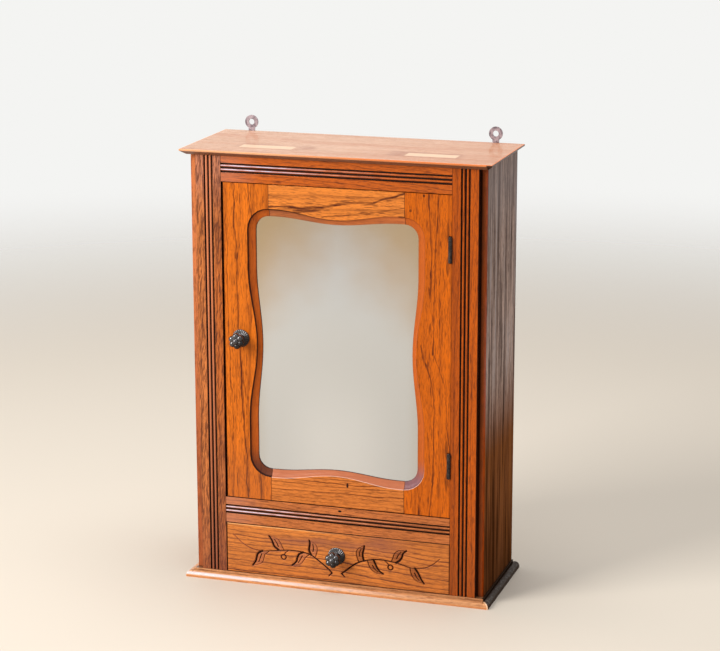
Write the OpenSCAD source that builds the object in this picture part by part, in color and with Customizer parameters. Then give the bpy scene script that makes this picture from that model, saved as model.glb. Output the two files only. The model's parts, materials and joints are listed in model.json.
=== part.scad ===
// Mirrored oak wall cabinet: a board carcass with a reeded front frame, a hinged
// mirror door with a scalloped opening, and a dovetailed drawer below it.
// X runs to the right, the front faces -Y, Z is up, and the cabinet stands on Z = 0.

/* [Carcass] */
// Width over the two side boards
body_w = 430; // [380:5:560]
// Depth from the face of the front frame to the back
body_d = 171; // [140:1:240]
// Height from the underside of the base to the top face
body_h = 630; // [540:5:800]
// Thickness of the side boards
side_t = 10; // [8:0.5:16]
// Thickness of the top board
top_t = 8; // [7:0.5:16]
// Overhang of the top board at the front and the sides
top_over = 10.5; // [6:0.5:20]
// Thickness of the moulded base board
base_t = 11; // [10:0.5:18]
// Overhang of the base board at the front and the sides
base_over = 12; // [10:0.5:20]
// Thickness of the back boards
back_t = 8; // [6:0.5:12]
// Depth of the rebate in the side boards that takes the back boards
back_rebate = 5; // [3:0.5:6]

/* [Front frame] */
// Thickness of the front frame
frame_t = 18; // [15:0.5:24]
// How far the frame stands proud of the side boards' front edges
frame_proud = 8; // [2:0.5:10]
// Width of each front stile
stile_w = 37.5; // [30:0.5:50]
// Height of the top rail
top_rail_h = 36.5; // [30:0.5:50]
// Height of the rail between the door and the drawer
mid_rail_h = 38; // [30:0.5:50]
// Height of the drawer opening
drawer_open_h = 75; // [65:1:100]
// Spacing of the reeds' grooves
reed_pitch = 5.6; // [4.5:0.1:7]
// Width of each groove beside the reeds
reed_gap = 2.3; // [1.2:0.1:2.8]
// Depth of the reeds' channel
reed_d = 2.6; // [2:0.1:4]
// Height of the reeds above the middle of each rail
reed_up = 1.3; // [0:0.1:3]

/* [Inside] */
// Thickness of the cupboard floor
floor_t = 10; // [8:0.5:14]
// How far the cupboard floor stands above the rail as a stop for the door
floor_lip = 5; // [4:0.5:8]
// Depth of the housings that take the floor's ends
housing_d = 3; // [2:0.5:5]
// Thickness of the shelves
shelf_t = 9; // [7:0.5:14]
// Distance of the shelves' front edges behind the front frame
shelf_back = 10; // [6:1:40]
// Side of the square battens under the shelves
batten = 12; // [8:1:18]
// Thickness of the kicker strips above the drawer
kicker_t = 9; // [6:0.5:12]
// Height of the drawer guides on the base
guide_h = 20; // [10:1:40]
// Thickness of the drawer guides
guide_t = 12; // [8:1:18]

/* [Door] */
// How far the door's and the drawer's faces lie behind the frame's face
face_set = 1; // [0.5:0.5:3]
// Gap at the door's free edge
free_gap = 2.8; // [1.5:0.1:4]
// Gap at the door's hinged edge
hinge_gap = 0.6; // [0.4:0.1:1]
// Gap above and below the door
end_gap = 1.3; // [0.8:0.1:3]
// Gap between the closed door and the floor's front edge
stop_gap = 0.3; // [0.2:0.1:1]
// Width of the door's stiles before the opening is sawn in them
door_stile_w = 67; // [60:0.5:80]
// Height of the door's rails before the opening is sawn in them
door_rail_h = 56; // [50:0.5:70]
// Thickness of the door's tenons
tenon_t = 6; // [4:0.5:8]
// Length of the door's tenons
tenon_l = 20; // [12:1:28]
// Margin from the door's edge to the moulding, at the lobes of the opening
lobe_margin = 35; // [30:0.5:50]
// Dip of the opening's sides at mid height
side_dip = 12.5; // [4:0.5:16]
// Length of that dip, up and down
side_dip_l = 220; // [120:5:300]
// Dip of the opening's top and bottom at mid width
top_dip = 10.5; // [4:0.5:14]
// Length of that dip, across
top_dip_l = 180; // [100:5:200]
// Corner radius of the moulding's outer line
corner_r = 31; // [24:1:40]
// Width of the moulding round the mirror
mould_w = 11.3; // [8:0.1:14]
// Depth of the moulding's hollow
mould_d = 5.5; // [3:0.5:7]
// Upright edge between the hollow and the glass
mould_edge = 1.5; // [1:0.5:3]
// Thickness of the mirror glass
glass_t = 3; // [2:0.5:4]
// How far the glass reaches behind the moulding
glass_lap = 5; // [4:0.5:6]
// Clearance round the glass in its rebate
glass_play = 0.5; // [0.2:0.1:1]
// Thickness of the board behind the glass
backing_t = 2.5; // [1.5:0.5:3]
// Width of the beads that hold the glass
bead_w = 9; // [6:0.5:14]

/* [Hinges] */
// Length of the hinge leaves
leaf_l = 35; // [28:1:50]
// Thickness of the hinge leaves
leaf_t = 2.1; // [1.6:0.1:2.4]
// Reach of the leaves behind the hinge axis
leaf_w = 14; // [11:0.5:16]
// Outer radius of the hinge knuckles
knuckle_r = 2.8; // [2.5:0.1:3.6]
// Radius of the hinge pins
pin_r = 1.4; // [1:0.1:1.7]
// Radial running clearance of the pins
pin_play = 0.05; // [0.02:0.01:0.1]
// Distance of the hinge axis in front of the door's face
axis_out = 1.5; // [1:0.1:2.5]
// Distance of the hinges' middles from the door's ends
hinge_inset = 75.5; // [50:0.5:110]

/* [Drawer] */
// Side clearance of the drawer in its opening
drawer_side_play = 0.7; // [0.4:0.1:1.5]
// Clearance under the drawer
drawer_run = 0.3; // [0.2:0.1:0.6]
// Clearance above the drawer's front
drawer_top_play = 0.8; // [0.5:0.1:2]
// Thickness of the drawer's front
drawer_front_t = 16; // [14:0.5:20]
// Wood left in front of the lapped dovetails
lap_t = 5; // [4:0.5:8]
// Thickness of the drawer's sides and back
drawer_side_t = 8; // [6:0.5:10]
// Height of the drawer's sides
drawer_side_h = 66; // [54:1:66]
// Thickness of the drawer's bottom
drawer_bottom_t = 4; // [3:0.5:5]
// Depth of the grooves that take the drawer's bottom
groove_d = 3; // [2:0.5:4]
// Height of those grooves above the sides' lower edge
groove_up = 5; // [4:0.5:8]
// Number of dovetails at each corner
tail_count = 3; // [2:1:4]
// Flare of each dovetail on either side
tail_flare = 1.6; // [1:0.1:2]

/* [Knobs] */
// Radius of the fluted flange
flange_r = 12.9; // [11:0.1:16]
// Thickness of the flange at its middle
flange_t = 3.4; // [3:0.1:5]
// Number of flutes round the flange
flute_count = 24; // [16:2:30]
// Radius of the neck
neck_r = 4.2; // [3.8:0.1:5.5]
// Radius of the blossom head
head_r = 10.9; // [9.8:0.1:13]
// Full projection of a knob
knob_reach = 26; // [24:0.5:32]
// Height of the door knob above the middle of the door
door_knob_up = 7; // [0:1:60]
// Height of the drawer knob above the middle of the drawer's front
drawer_knob_up = 2.5; // [0:0.5:8]
// Distance of the door knob from the opening's free edge
door_knob_in = 26.5; // [22:0.5:30]

/* [Hangers] */
// Distance of the rings' middles from the body's sides
hanger_in = 31.5; // [26:0.5:60]
// Outer radius of the rings
ring_r = 9.9; // [8:0.1:13]
// Radius of the hole in the rings
ring_hole_r = 4.3; // [3:0.1:6]
// Height of the rings' middles above the top face
ring_up = 13; // [12:0.5:20]
// Thickness of the hanger plates
hanger_t = 2; // [1.5:0.1:2.5]
// Width of the hanger plates
hanger_w = 9.5; // [8:0.5:12]
// Length of the hanger plates below the top face
hanger_l = 44; // [34:1:80]

/* [Hidden] */
$fn = 64;

// Common places
half_w = body_w / 2;
inner_half = half_w - side_t;
open_half = inner_half - stile_w;
depth_all = body_d - face_set + knob_reach;
back_y = depth_all / 2;
front_y = back_y - body_d;
frame_back_y = front_y + frame_t;
back_in_y = back_y - back_t;
face_y = front_y + face_set;
top_z = body_h - top_t;
drawer_top_z = base_t + drawer_open_h;
rail_top_z = drawer_top_z + mid_rail_h;
door_top_z = top_z - top_rail_h;
floor_top_z = rail_top_z + floor_lip;
housing_x = inner_half + housing_d;

// Stub tenons of the front frame
stub_l = 12;
stub_t = frame_t / 3;
stub_shoulder = 6;

// Dowels between the side boards and the top and base
dowel_r = 3;
dowel_in_side = 14;
dowel_in_board = 5;
dowel_behind_frame = 20;
dowel_before_back = 18;
dowel_front_y = frame_back_y + dowel_behind_frame;
dowel_rear_y = back_in_y - dowel_before_back;

// Door
door_t = frame_t - face_set - stop_gap;
door_l_x = -open_half + free_gap;
door_r_x = open_half - hinge_gap;
door_bot_z = rail_top_z + end_gap;
door_head_z = door_top_z - end_gap;
door_mid_z = (door_bot_z + door_head_z) / 2;
door_back_y = face_y + door_t;
joint_l_x = door_l_x + door_stile_w;
joint_r_x = door_r_x - door_stile_w;
lobe_w = min(-door_l_x, door_r_x) - lobe_margin;
lobe_h = (door_head_z - door_bot_z) / 2 - lobe_margin + 1;
glass_y = face_y + mould_d + mould_edge;
backing_y = glass_y + glass_t;
bead_y = backing_y + backing_t;
bead_t = door_back_y - bead_y;
rebate_w = lobe_w - mould_w + glass_lap;
rebate_h = lobe_h - mould_w + glass_lap;
tenon_y = glass_y + 1;
tenon_shoulder = 5;
tenon_h = 22;

// Hinges
leaf_gap = 0.15;
leaf_room = 0.3;
axis_x = open_half - leaf_t - leaf_gap;
axis_y = face_y - axis_out;
hinge_z = [door_bot_z + hinge_inset, door_head_z - hinge_inset];
leaf_start = knuckle_r + 0.4;
barrel_room = knuckle_r + 0.3;
knuckle_count = 5;
knuckle_l = leaf_l / knuckle_count;
knuckle_play = 0.2;
pin_head_h = 1.5;
leaf_screw_up = leaf_l / 4;
leaf_screw_y = (leaf_start + leaf_w) / 2 + 0.6;

// Screws: [length, shank radius, head radius]
leaf_screw = [12, 1.1, 2.1];
hanger_screw = [7.4, 1.2, 2.4];
clip_screw = [8, 1.1, 2.1];
screw_play = 0.05;

// Hanger plates
hanger_x = half_w - hanger_in;
hanger_screw_down = 10;
hanger_screw_up = 7;
hanger_screw_z = [top_z - hanger_screw_down, body_h - hanger_l + hanger_screw_up];

// Knob screws
knob_screw_r = 1.8;
knob_screw_head_r = 4;
knob_screw_head_h = 2;
knob_bite = 14;

// Drawer
drawer_half = open_half - drawer_side_play;
drawer_low_z = base_t + drawer_run;
drawer_rear_y = back_in_y - 0.3;
front_low_z = drawer_low_z + 0.3;
front_head_z = drawer_top_z - drawer_top_play;
drawer_in_y = face_y + drawer_front_t;
tail_tip_y = face_y + lap_t;
bottom_z = drawer_low_z + groove_up;
bottom_top_z = bottom_z + drawer_bottom_t;
drawer_back_y = drawer_rear_y - drawer_side_t;
drawer_side_top_z = drawer_low_z + drawer_side_h;
door_knob_x = -open_half + door_knob_in;
door_knob_z = door_mid_z + door_knob_up;
drawer_knob_z = (front_low_z + front_head_z) / 2 + drawer_knob_up;

// Spring clip and tongue that hold the door shut
clip_in = 15;
clip_x = door_l_x + clip_in;
clip_w = 12;
clip_t = 1;
clip_l = 15;
clip_foot = 18;
clip_front_y = door_back_y + 3;
tongue_t = 1.5;
tongue_play = 0.4;
tongue_l = 13;
tongue_z = floor_top_z + clip_t + tongue_play;
plate_t = 1.4;
plate_h = 20;

// Shelves at equal heights between the floor and the top
shelf_count = 2;
shelf_room = (top_z - floor_top_z - shelf_count * shelf_t) / (shelf_count + 1);
function shelf_z(i) = floor_top_z + shelf_room + i * (shelf_room + shelf_t);
shelf_front_y = frame_back_y + shelf_back;
shelf_end_play = 0.5;

// Back boards side by side, with tongues and grooves
back_count = 3;
back_half = inner_half + back_rebate;
back_board_w = 2 * back_half / back_count;
tongue_edge_w = 3;
tongue_edge_t = 3;
tongue_edge_play = 0.3;

// Nails of the back boards: [length, shank radius, head radius, head thickness]
nail = [24, 0.9, 2.2, 0.8];
nail_rows = 5;
nail_end = 30;

wood_front = "#c4702f";
wood_side = "#8a6242";
wood_inner = "#b98a57";
metal_dark = "#4c4440";
metal_grey = "#8b8580";

// A box given by its lowest and highest corners
module block(low, high) {
    translate(low) cube(high - low);
}

// A 2D shape drawn with X as depth (Y) and Y as height (Z), run along X
module run_along_x(from_x, to_x) {
    translate([from_x, 0, 0])
        rotate([90, 0, 90])
            linear_extrude(to_x - from_x) children();
}

// A 2D shape drawn with X as width and Y as height, run from one Y to another
module run_along_y(from_y, to_y) {
    translate([0, to_y, 0])
        rotate([90, 0, 0])
            linear_extrude(to_y - from_y) children();
}

// A 2D shape run from one height to another
module run_along_z(from_z, to_z) {
    translate([0, 0, from_z]) linear_extrude(to_z - from_z) children();
}

// Channel with two round-nosed reeds standing in it, drawn across the face (X) and into it (Y)
module reed_cut() {
    reed_r = (reed_pitch - reed_gap) / 2;
    channel = 2 * reed_pitch + reed_gap;
    difference() {
        translate([-channel / 2, -1]) square([channel, 1 + reed_d]);
        for (side = [-1, 1]) {
            translate([side * reed_pitch / 2, reed_r]) circle(reed_r);
            translate([side * reed_pitch / 2 - reed_r, reed_r]) square([2 * reed_r, reed_d]);
        }
    }
}

// A board whose front and side edges carry the same nose, mitred at the corners.
// Its three sections are drawn outwards from the body's faces (X) and up (Y).
module moulded_board(low_z) {
    intersection() {
        run_along_x(-body_w, body_w)
            translate([front_y, low_z]) mirror([1, 0]) children();
        run_along_y(front_y - body_w, back_y)
            translate([half_w, low_z]) children();
        run_along_y(front_y - body_w, back_y)
            translate([-half_w, low_z]) mirror([1, 0]) children();
    }
}

// Undercut nose of the top board, with the board behind it
module top_section() {
    fillet = 2.4;
    arris = 0.6;
    foot = 2.5;
    polygon([[-2 * body_w, 0], [foot, 0], [top_over, top_t - fillet],
        [top_over, top_t - arris], [top_over - arris, top_t], [-2 * body_w, top_t]]);
}

// Thumbnail nose of the base board, with the board behind it: fillet, quirk, round
// and a short upright edge
module base_section() {
    fillet_w = 2.4;
    edge_h = 2.2;
    round_r = base_t - 4.6;
    quirk_w = 0.9;
    quirk_z = edge_h + round_r - 1.8;
    round_x = base_over - round_r;
    translate([-2 * body_w, 0]) square([2 * body_w + fillet_w, base_t]);
    square([round_x, quirk_z]);
    square([base_over, edge_h]);
    intersection() {
        translate([round_x, edge_h]) circle(round_r);
        translate([fillet_w + quirk_w, edge_h]) square([base_over, round_r + 1]);
    }
}

// Holes for the dowels, or the dowels themselves, at one end of both side boards
module dowel_set(low_z, high_z, grow = 0) {
    for (side = [-1, 1])
        for (y = [dowel_front_y, dowel_rear_y])
            translate([side * (half_w - side_t / 2), y, low_z])
                cylinder(h = high_z - low_z, r = dowel_r + grow);
}

// The hanger plate's outline in X and Z
module hanger_outline(ring = true) {
    ring_z = body_h + ring_up;
    low_z = body_h - hanger_l;
    difference() {
        union() {
            translate([-hanger_w / 2, low_z + hanger_w / 2])
                square([hanger_w, ring_z - low_z - hanger_w / 2]);
            translate([0, low_z + hanger_w / 2]) circle(hanger_w / 2);
            if (ring) translate([0, ring_z]) circle(ring_r);
        }
        if (ring) translate([0, ring_z]) circle(ring_hole_r);
    }
}

module hanger_recess() {
    for (side = [-1, 1])
        translate([side * hanger_x, 0, 0])
            run_along_y(back_y - hanger_t, back_y + 1) hanger_outline(false);
}

// A countersunk screw along -Z with its head at the origin, slotted on top
module wood_screw(size) {
    slot_w = 0.6;
    slot_d = 0.7;
    head_h = size[2] - size[1];
    difference() {
        union() {
            translate([0, 0, -head_h]) cylinder(h = head_h, r1 = size[1], r2 = size[2]);
            translate([0, 0, 1 - size[0]]) cylinder(h = size[0] - head_h - 1 + 0.01, r = size[1]);
            translate([0, 0, -size[0]]) cylinder(h = 1, r1 = 0.4, r2 = size[1]);
        }
        translate([-size[2], -slot_w / 2, -slot_d]) cube([2 * size[2], slot_w, 1]);
    }
}

// The hole that such a screw fills
module screw_hole(size) {
    head_h = size[2] - size[1];
    translate([0, 0, -head_h])
        cylinder(h = head_h, r1 = size[1] + screw_play, r2 = size[2] + screw_play);
    translate([0, 0, -size[0] - screw_play])
        cylinder(h = size[0] + screw_play, r = size[1] + screw_play);
    cylinder(h = 1, r = size[2] + screw_play);
}

// Places its children at each hanger screw, head towards the wall
module hanger_screw_places() {
    for (side = [-1, 1])
        for (z = hanger_screw_z)
            translate([side * hanger_x, back_y, z]) rotate([-90, 0, 0]) children();
}

// Nails through the back boards into the side boards and the floor, or the holes they fill
module nail_set(grow = 0) {
    low = base_t + nail_end;
    pitch = (top_z - nail_end - low) / (nail_rows - 1);
    rows = [for (side = [-1, 1])
        for (i = [0 : nail_rows - 1])
            [side * (inner_half + back_rebate / 2), low + i * pitch]];
    floor_row = [for (i = [-1 : 1]) [i * back_board_w, floor_top_z - floor_t / 2]];
    for (p = concat(rows, floor_row))
        translate([p[0], back_y + grow, p[1]])
            rotate([90, 0, 0]) {
                cylinder(h = nail[0] + 2 * grow, r = nail[1] + grow);
                cylinder(h = nail[3] + grow, r = nail[2] + grow);
            }
}

module top_board() {
    color(wood_front)
        difference() {
            moulded_board(top_z) top_section();
            hanger_recess();
            dowel_set(top_z - 1, top_z + dowel_in_board);
        }
}

module base_board() {
    color(wood_front)
        difference() {
            moulded_board(0) base_section();
            dowel_set(base_t - dowel_in_board, base_t + 1);
        }
}

// A side board, drawn for the right and mirrored for the left
module side_board() {
    color(wood_side)
        difference() {
            block([inner_half, front_y + frame_proud, base_t], [half_w, back_y, top_z]);
            block([inner_half - 1, back_in_y, base_t - 1], [back_half, back_y + 1, top_z + 1]);
            block([inner_half - 1, frame_back_y, floor_top_z - floor_t],
                [housing_x, back_in_y, floor_top_z]);
            dowel_set(base_t - 1, base_t + dowel_in_side);
            dowel_set(top_z - dowel_in_side, top_z + 1);
            nail_set(screw_play);
        }
}

module side_board_left() {
    mirror([1, 0, 0]) side_board();
}

module side_board_right() {
    side_board();
}

module carcass_dowels() {
    color(wood_inner) {
        dowel_set(base_t - dowel_in_board, base_t + dowel_in_side);
        dowel_set(top_z - dowel_in_side, top_z + dowel_in_board);
    }
}

// Stub tenons of a front rail, which are also the mortises in the stiles
module rail_stubs(low_z, high_z) {
    for (side = [0, 1])
        mirror([side, 0, 0])
            block([open_half - 1, front_y + stub_t, low_z + stub_shoulder],
                [open_half + stub_l, front_y + 2 * stub_t, high_z - stub_shoulder]);
}

// A reeded front stile, drawn for the right
module front_stile() {
    difference() {
        run_along_z(base_t, top_z)
            difference() {
                translate([open_half, front_y]) square([stile_w, frame_t]);
                translate([open_half + stile_w / 2, front_y]) reed_cut();
            }
        rail_stubs(door_top_z, top_z);
        rail_stubs(drawer_top_z, rail_top_z);
    }
}

module front_stile_left() {
    color(wood_front) mirror([1, 0, 0]) front_stile();
}

module front_stile_right() {
    color(wood_front)
        difference() {
            front_stile();
            for (z = hinge_z) {
                translate([axis_x, axis_y, z]) barrel_cut();
                leaf_screw_places(z, 1) screw_hole(leaf_screw);
            }
        }
}

// A reeded rail between the stiles
module front_rail(low_z, high_z) {
    color(wood_front)
        union() {
            run_along_x(-open_half, open_half)
                difference() {
                    translate([front_y, low_z]) square([frame_t, high_z - low_z]);
                    translate([front_y, (low_z + high_z) / 2 + reed_up])
                        mirror([1, -1]) reed_cut();
                }
            rail_stubs(low_z, high_z);
        }
}

module top_rail() {
    front_rail(door_top_z, top_z);
}

module middle_rail() {
    front_rail(drawer_top_z, rail_top_z);
}

// One back board; a tongue on its right edge goes into the next board's groove
module back_board(index) {
    x0 = -back_half + index * back_board_w;
    x1 = x0 + back_board_w;
    mid_y = back_in_y + back_t / 2;
    half_tongue = tongue_edge_t / 2;
    last = index == back_count - 1;
    color(wood_inner)
        difference() {
            union() {
                block([x0, back_in_y, base_t], [x1, back_y, top_z]);
                if (!last)
                    block([x1 - 1, mid_y - half_tongue, base_t],
                        [x1 + tongue_edge_w, mid_y + half_tongue, top_z]);
            }
            if (index > 0)
                block([x0 - 1, mid_y - half_tongue, base_t - 1],
                    [x0 + tongue_edge_w + tongue_edge_play, mid_y + half_tongue, top_z + 1]);
            hanger_recess();
            hanger_screw_places() screw_hole(hanger_screw);
            nail_set(screw_play);
        }
}

module back_board_left() {
    back_board(0);
}

module back_board_middle() {
    back_board(1);
}

module back_board_right() {
    back_board(2);
}

module back_nails() {
    color(metal_dark) nail_set();
}

module cupboard_floor() {
    color(wood_inner)
        difference() {
            block([-housing_x, frame_back_y, floor_top_z - floor_t],
                [housing_x, back_in_y, floor_top_z]);
            nail_set(screw_play);
            clip_screw_place() screw_hole(clip_screw);
        }
}

module shelf(index) {
    half = inner_half - shelf_end_play;
    color(wood_inner)
        block([-half, shelf_front_y, shelf_z(index)],
            [half, back_in_y - shelf_end_play, shelf_z(index) + shelf_t]);
}

module lower_shelf() {
    shelf(0);
}

module upper_shelf() {
    shelf(1);
}

// A batten under the right end of a shelf, with a slanted front end
module shelf_batten(index) {
    high = shelf_z(index);
    color(wood_inner)
        run_along_x(inner_half - batten, inner_half)
            polygon([[shelf_front_y + batten / 2, high], [shelf_front_y + 1.5 * batten, high - batten],
                [back_in_y, high - batten], [back_in_y, high]]);
}

module lower_shelf_batten_left() {
    mirror([1, 0, 0]) shelf_batten(0);
}

module lower_shelf_batten_right() {
    shelf_batten(0);
}

module upper_shelf_batten_left() {
    mirror([1, 0, 0]) shelf_batten(1);
}

module upper_shelf_batten_right() {
    shelf_batten(1);
}

module drawer_guide() {
    color(wood_inner)
        block([open_half, frame_back_y, base_t], [open_half + guide_t, back_in_y, base_t + guide_h]);
}

module drawer_guide_left() {
    mirror([1, 0, 0]) drawer_guide();
}

module drawer_guide_right() {
    drawer_guide();
}

module drawer_kicker() {
    color(wood_inner)
        block([drawer_half - 1.5 * drawer_side_t, frame_back_y, drawer_top_z],
            [inner_half, back_in_y, drawer_top_z + kicker_t]);
}

module drawer_kicker_left() {
    mirror([1, 0, 0]) drawer_kicker();
}

module drawer_kicker_right() {
    drawer_kicker();
}

// A flat plate let in flush with the back, ending above the top in a ring
module hanger_plate(side) {
    color(metal_grey)
        difference() {
            translate([side * hanger_x, 0, 0])
                run_along_y(back_y - hanger_t, back_y) hanger_outline();
            hanger_screw_places() screw_hole(hanger_screw);
        }
}

module hanger_plate_left() {
    hanger_plate(-1);
}

module hanger_plate_right() {
    hanger_plate(1);
}

module hanger_screws() {
    color(metal_grey) hanger_screw_places() wood_screw(hanger_screw);
}

// Room in the wood for one hinge's barrel, seen from its axis
module barrel_cut() {
    translate([0, 0, -leaf_l / 2 - pin_head_h - knuckle_play])
        cylinder(h = leaf_l + 2 * (pin_head_h + knuckle_play), r = barrel_room);
}

// Room in the door's edge for both leaves of a hinge, the door's own against its bottom
module leaf_bed() {
    far = leaf_gap + leaf_t;
    translate([-far, 0, -leaf_l / 2 - leaf_room])
        cube([2 * far, leaf_w + leaf_room, leaf_l + 2 * leaf_room]);
}

// One leaf about the hinge axis, on the frame's side (1) or the door's (-1);
// every second knuckle belongs to it
module hinge_leaf(toward, first) {
    last = knuckle_count - 1;
    x_low = toward > 0 ? leaf_gap : -leaf_gap - leaf_t;
    color(metal_dark)
        difference() {
            union() {
                translate([x_low, leaf_start, -leaf_l / 2]) cube([leaf_t, leaf_w - leaf_start, leaf_l]);
                for (i = [first : 2 : last]) {
                    low = -leaf_l / 2 + i * knuckle_l + (i == 0 ? 0 : knuckle_play / 2);
                    high = -leaf_l / 2 + (i + 1) * knuckle_l - (i == last ? 0 : knuckle_play / 2);
                    translate([0, 0, low]) cylinder(h = high - low, r = knuckle_r);
                    translate([x_low, 0, low]) cube([leaf_t, leaf_start + 1, high - low]);
                }
            }
            translate([0, 0, -leaf_l]) cylinder(h = 2 * leaf_l, r = pin_r + pin_play);
        }
}

// Places its children at the screws of one leaf, heads in the gap
module leaf_screw_places(z, toward) {
    for (up = [-leaf_screw_up, leaf_screw_up])
        translate([axis_x + toward * leaf_gap, axis_y + leaf_screw_y, z + up])
            rotate([0, toward > 0 ? -90 : 90, 0]) children();
}

module placed_leaf(index, toward, first) {
    difference() {
        translate([axis_x, axis_y, hinge_z[index]]) hinge_leaf(toward, first);
        leaf_screw_places(hinge_z[index], toward) screw_hole(leaf_screw);
    }
}

module lower_hinge_frame_leaf() {
    placed_leaf(0, 1, 0);
}

module upper_hinge_frame_leaf() {
    placed_leaf(1, 1, 0);
}

module lower_hinge_door_leaf() {
    placed_leaf(0, -1, 1);
}

module upper_hinge_door_leaf() {
    placed_leaf(1, -1, 1);
}

// A hinge pin with a low domed head at either end
module hinge_pin(index) {
    head_r = knuckle_r - 0.3;
    dome_r = (head_r * head_r + pin_head_h * pin_head_h) / (2 * pin_head_h);
    color(metal_dark)
        translate([axis_x, axis_y, hinge_z[index]]) {
            translate([0, 0, -leaf_l / 2]) cylinder(h = leaf_l, r = pin_r);
            for (side = [0, 1])
                mirror([0, 0, side])
                    translate([0, 0, leaf_l / 2])
                        rotate_extrude()
                            intersection() {
                                translate([0, pin_head_h - dome_r]) circle(dome_r);
                                square([head_r, pin_head_h]);
                            }
        }
}

module lower_hinge_pin() {
    hinge_pin(0);
}

module upper_hinge_pin() {
    hinge_pin(1);
}

module hinge_frame_screws() {
    color(metal_dark)
        for (z = hinge_z) leaf_screw_places(z, 1) wood_screw(leaf_screw);
}

module hinge_door_screws() {
    color(metal_dark)
        for (z = hinge_z) leaf_screw_places(z, -1) wood_screw(leaf_screw);
}

module clip_screw_place() {
    translate([clip_x, clip_front_y + clip_l + clip_foot / 2, floor_top_z + clip_t]) children();
}

// A bent spring strip on the cupboard floor, open to the front; its jaws grip the tongue
module door_catch_clip() {
    jaw_z = tongue_z + tongue_t + tongue_play;
    rear_y = clip_front_y + clip_l;
    lip = 2;
    color(metal_grey)
        difference() {
            run_along_x(clip_x - clip_w / 2, clip_x + clip_w / 2)
                polygon([[clip_front_y, floor_top_z], [rear_y + clip_foot, floor_top_z],
                    [rear_y + clip_foot, floor_top_z + clip_t], [rear_y, floor_top_z + clip_t],
                    [rear_y, jaw_z + clip_t], [clip_front_y + lip, jaw_z + clip_t],
                    [clip_front_y, jaw_z + 2 * clip_t], [clip_front_y - 0.4, jaw_z + 1.2 * clip_t],
                    [clip_front_y + lip, jaw_z], [rear_y - clip_t, jaw_z],
                    [rear_y - clip_t, floor_top_z + clip_t], [clip_front_y, floor_top_z + clip_t]]);
            clip_screw_place() screw_hole(clip_screw);
        }
}

module catch_clip_screw() {
    color(metal_grey) clip_screw_place() wood_screw(clip_screw);
}

// The scalloped opening

// Smooth dip: 1 in the middle, 0 from the end of its length on
function dip(pos, length) =
    let (t = min(1, abs(pos) / (length / 2)))
    (1 + cos(180 * t)) / 2;

// A quarter of the outline, from the middle of the right side to the middle of the top,
// drawn in by inset; the dips flatten towards the glass
side_steps = 14;
corner_steps = 6;
top_steps = 12;
function quarter(inset) =
    let (
        w = lobe_w - inset,
        h = lobe_h - inset,
        r = corner_r - inset,
        flat = 1 - 0.35 * inset / mould_w
    )
    concat(
        [for (i = [0 : side_steps - 1])
            let (z = (h - r) * i / side_steps)
            [w - side_dip * flat * dip(z, side_dip_l), z]],
        [for (i = [0 : corner_steps])
            let (a = 90 * i / corner_steps)
            [w - r + r * cos(a), h - r + r * sin(a)]],
        [for (i = [1 : top_steps])
            let (x = (w - r) * (1 - i / top_steps))
            [x, h - top_dip * flat * dip(x, top_dip_l)]]);

function flipped(points, sx, sz) =
    let (n = len(points))
    [for (i = [0 : n - 1])
        let (p = sx * sz < 0 ? points[n - 1 - i] : points[i])
        [sx * p[0], sz * p[1]]];

function without_last(points) = [for (i = [0 : len(points) - 2]) points[i]];

function outline(inset) =
    let (q = quarter(inset))
    concat(
        without_last(q),
        without_last(flipped(q, -1, 1)),
        without_last(flipped(q, -1, -1)),
        without_last(flipped(q, 1, -1)));

// Rings of the cutter: above the face, at the face, down the hollow, and through the back
hollow_steps = 4;
cut_over = 1;
cove_share = 0.8;
function hollow_ring(k) =
    let (a = 90 * k / hollow_steps, even = (1 - cove_share) * k / hollow_steps)
    [mould_w * (cove_share * (1 - cos(a)) + even), mould_d * (cove_share * sin(a) + even)];
cut_rings = concat(
    [[0, -cut_over]],
    [for (k = [0 : hollow_steps]) hollow_ring(k)],
    [[mould_w, door_t + cut_over]]);

module opening_cut() {
    n = len(outline(0));
    last = len(cut_rings) - 1;
    points = [for (ring = cut_rings)
        for (p = outline(ring[0]))
            [p[0], face_y + ring[1], door_mid_z + p[1]]];
    walls = [for (j = [0 : last - 1])
        for (i = [0 : n - 1])
            let (a = j * n + i, b = j * n + (i + 1) % n)
            [a, b, b + n, a + n]];
    front_cap = [for (i = [n - 1 : -1 : 0]) i];
    rear_cap = [for (i = [0 : n - 1]) last * n + i];
    polyhedron(points, concat(walls, [front_cap, rear_cap]), convexity = 8);
}

// Rectangular rebate for the glass, its backing and the beads
module glass_rebate() {
    block([-rebate_w, glass_y, door_mid_z - rebate_h],
        [rebate_w, door_back_y + 1, door_mid_z + rebate_h]);
}

// Tenons at both ends of a door rail, which are also the mortises in the door's stiles
module door_tenons(low_z) {
    for (x = [[joint_l_x - tenon_l, joint_l_x + 1], [joint_r_x - 1, joint_r_x + tenon_l]])
        block([x[0], tenon_y, low_z], [x[1], tenon_y + tenon_t, low_z + tenon_h]);
}

top_tenon_z = door_head_z - tenon_shoulder - tenon_h;
bottom_tenon_z = door_bot_z + tenon_shoulder;

module door_stile(low_x, high_x) {
    difference() {
        block([low_x, face_y, door_bot_z], [high_x, door_back_y, door_head_z]);
        opening_cut();
        glass_rebate();
        door_tenons(top_tenon_z);
        door_tenons(bottom_tenon_z);
    }
}

module door_stile_left() {
    color(wood_front)
        difference() {
            door_stile(door_l_x, joint_l_x);
            knob_screw_hole(door_knob_x, door_back_y, door_knob_z, door_t);
            tongue_screw_places() screw_hole(clip_screw);
        }
}

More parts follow.
